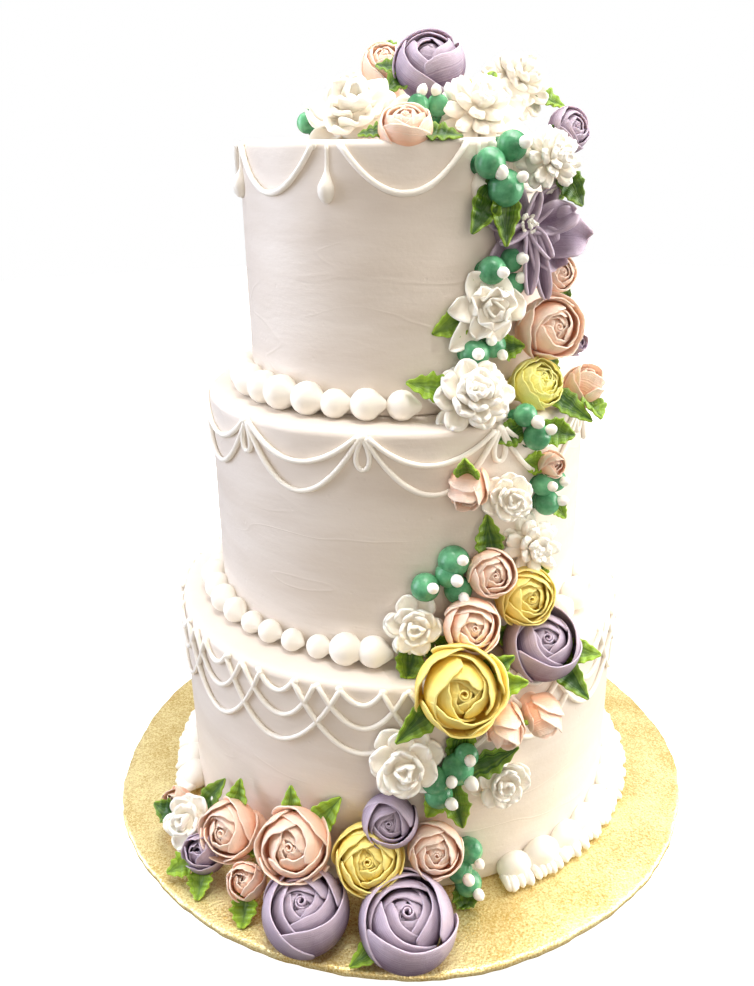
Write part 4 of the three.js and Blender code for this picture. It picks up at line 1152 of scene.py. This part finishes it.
def make_borders():
    for seed, (tier, border) in enumerate(BORDERS.items()):
        draw = random.Random(70 + seed)
        icing = Icing()
        beads = round((border["to"] - border["from"]) / 360 * border["count"])
        step = (border["to"] - border["from"]) / beads
        for i in range(beads):
            bearing = border["from"] + (i + 0.5) * step + draw.uniform(-0.5, 0.5)
            if tier == "lower":
                add_puff(icing, bearing, border["size"] * draw.uniform(0.92, 1.08), draw)
            else:
                add_bead(icing, tier, bearing, border["size"] * draw.uniform(0.84, 1.2), draw)
        if tier == "lower":
            fingers = beads * FINGERS
            for i in range(fingers):
                bearing = border["from"] + (i + 0.5) * step / FINGERS + draw.uniform(-0.15, 0.15)
                add_finger(icing, bearing, border["size"], draw)
        icing.piece(f"beads_{tier}", f"border_{tier}", "icing", FINISH["string"], smooth=0)


# Board
def make_board():
    """The foil-covered board: a wavy turned edge, and a face that dips a little towards it."""
    board = Icing()
    around = 360
    bearing = np.arange(around) * 360 / around
    low = BOARD_BOX[0][2]
    high = BOARD_BOX[1][2]
    back = -AXIS[1]
    radius = (BOARD_BOX[1][0] - BOARD_BOX[0][0]) / 2 - 0.6
    angle = np.radians(bearing)
    wave = 0.9 * np.sin(5 * angle + 1) + 0.5 * np.sin(9 * angle) + 0.25 * np.sin(31 * angle)
    crimp = 0.18 * np.sin(67 * angle) + 0.12 * np.sin(113 * angle + 1)

    def ring(distance, height):
        edge = np.clip((distance - radius + 12) / 12, 0, 1)
        points = spot(bearing, distance + (wave + crimp) * edge, height + 0.15 * wave * edge)
        points[:, 1] += back
        points[:, 2] = np.maximum(points[:, 2], low)
        return points

    thick = high - low
    profile = [
        (radius - 2.5, low), (radius - 0.6, low + 0.5), (radius, low + 0.35 * thick),
        (radius, low + 0.7 * thick), (radius - 0.9, high - 0.25), (radius - 2.6, high - 0.1),
    ]
    profile += [(radius * share, high - 0.15) for share in (0.97, 0.93, 0.87, 0.8, 0.7, 0.5, 0.25)]
    grid = np.array([ring(distance, np.full(around, height)) for distance, height in profile])
    board.rings(grid, [0, back, low], [0, back, high - 0.15], 0.5)
    board.piece("board_foil", "cake_board", "gold_board", FINISH["gold"], smooth=0)


# Camera, light and floor. Places are in metres, and the camera's angles in degrees.
CAMERA = {"place": (0, -0.5154, 0.3845), "pitch": 21.65, "yaw": -1.34, "roll": -0.96, "lens": 33.59}
MIDDLE = (0, 0, 0.2)

# Lamps: where they are, what they point at, their size, watts and tint
LAMPS = {
    "window right": ((1.5, 0.15, 0.6), MIDDLE, (1.0, 1.4), 41, (1.0, 0.99, 0.95)),
    "window left": ((-1.5, 0.0, 0.6), MIDDLE, (1.0, 1.4), 27, (0.78, 0.84, 1.0)),
    "ceiling": ((0.15, 0.25, 1.7), (0, 0, 0), (1.4, 1.4), 30, (1.0, 0.985, 0.96)),
    "lamp above": ((0.08, -0.14, 1.6), (0.02, -0.1, 0), (0.6, 0.6), 11, (1.0, 0.99, 0.96)),
    "lamp in front": ((0.4, -1.6, 0.7), MIDDLE, (1.2, 1.0), 8.5, (1.0, 0.91, 0.8)),
}


def set_camera():
    """A phone's camera just in front of the cake, tipped down at it."""
    pitch, yaw, roll = (math.radians(CAMERA[turn]) for turn in ("pitch", "yaw", "roll"))
    level = Vector((math.cos(yaw), -math.sin(yaw), 0))
    ahead = Vector((math.sin(yaw), math.cos(yaw), 0))
    forward = ahead * math.cos(pitch) - Vector((0, 0, math.sin(pitch)))
    above = level.cross(forward)
    right = math.cos(roll) * level + math.sin(roll) * above
    up = math.cos(roll) * above - math.sin(roll) * level
    camera = bpy.data.objects.new("camera", bpy.data.cameras.new("camera"))
    camera.data.lens = CAMERA["lens"]
    camera.data.clip_start = 0.02
    place = Vector(CAMERA["place"]) + Vector(AXIS * MM)
    camera.matrix_world = Matrix.Translation(place) @ Matrix((right, up, -forward)).transposed().to_4x4()
    bpy.context.scene.collection.objects.link(camera)
    bpy.context.scene.camera = camera


def add_lamp(name, place, target, size, power, tint):
    lamp = bpy.data.lights.new(name, "AREA")
    lamp.shape = "RECTANGLE"
    lamp.size, lamp.size_y = size
    lamp.energy = power
    lamp.color = tint
    made = bpy.data.objects.new(name, lamp)
    made.location = place
    made.visible_camera = False
    made.rotation_euler = (Vector(target) - Vector(place)).to_track_quat("-Z", "Y").to_euler()
    bpy.context.scene.collection.objects.link(made)


def set_light():
    """Bright light from the right and above, cool light from the left, and warm shade in front."""
    for name, (place, target, size, power, tint) in LAMPS.items():
        add_lamp(name, place, target, size, power, tint)
    world = bpy.data.worlds.new("room light")
    world.use_nodes = True
    background = world.node_tree.nodes["Background"]
    background.inputs["Color"].default_value = (1.0, 0.92, 0.84, 1.0)
    background.inputs["Strength"].default_value = 0.33
    bpy.context.scene.world = world
    bpy.context.scene.view_settings.view_transform = "Standard"


def stage_piece(name, mesh, finish):
    mesh.materials.append(finish)
    mesh.polygons.foreach_set("use_smooth", [True] * len(mesh.polygons))
    made = bpy.data.objects.new(name, mesh)
    bpy.context.scene.collection.objects.link(made)
    made.visible_diffuse = False
    made.visible_glossy = False
    return made


def make_floor():
    """A pale table top, and a white studio sweep that rises all round it."""
    table, _, shader = new_material("pale table")
    set_finish(shader, {"Base Color": (0.93, 0.93, 0.93, 1.0), "Roughness": 0.85, "Specular IOR Level": 0.1,
                        "Emission Color": (1.0, 1.0, 1.0, 1.0), "Emission Strength": 0.8})
    half = 2.4
    around = 64
    mesh = bpy.data.meshes.new("table top")
    mesh.from_pydata(lathe([half], [0.0], around)[0].tolist(), [], [tuple(range(around))])
    stage_piece("table_top", mesh, table)
    white, _, shader = new_material("white sweep")
    set_finish(shader, {"Base Color": (0.0, 0.0, 0.0, 1.0), "Roughness": 1.0, "Specular IOR Level": 0.0,
                        "Emission Color": (1.0, 1.0, 1.0, 1.0), "Emission Strength": 1.0})
    profile = [(half, 0.0), (2.9, 0.1), (3.3, 0.5), (3.4, 2.5), (2.4, 4.0), (0.01, 4.6)]
    points = lathe([radius for radius, _ in profile], [height for _, height in profile], around)
    index = np.arange(len(profile) * around).reshape(-1, around)
    ahead = np.roll(index, -1, axis=1)
    mesh = bpy.data.meshes.new("studio sweep")
    mesh.from_pydata(
        points.reshape(-1, 3).tolist(), [], quads(ahead[:-1], index[:-1], index[1:], ahead[1:]),
    )
    sweep = stage_piece("studio_sweep", mesh, white)
    sweep.visible_shadow = False


make_tiers()
make_borders()
make_board()
for number, flower in enumerate(FLOWERS):
    pipe_flower(number, flower)
make_floor()
set_camera()
set_light()
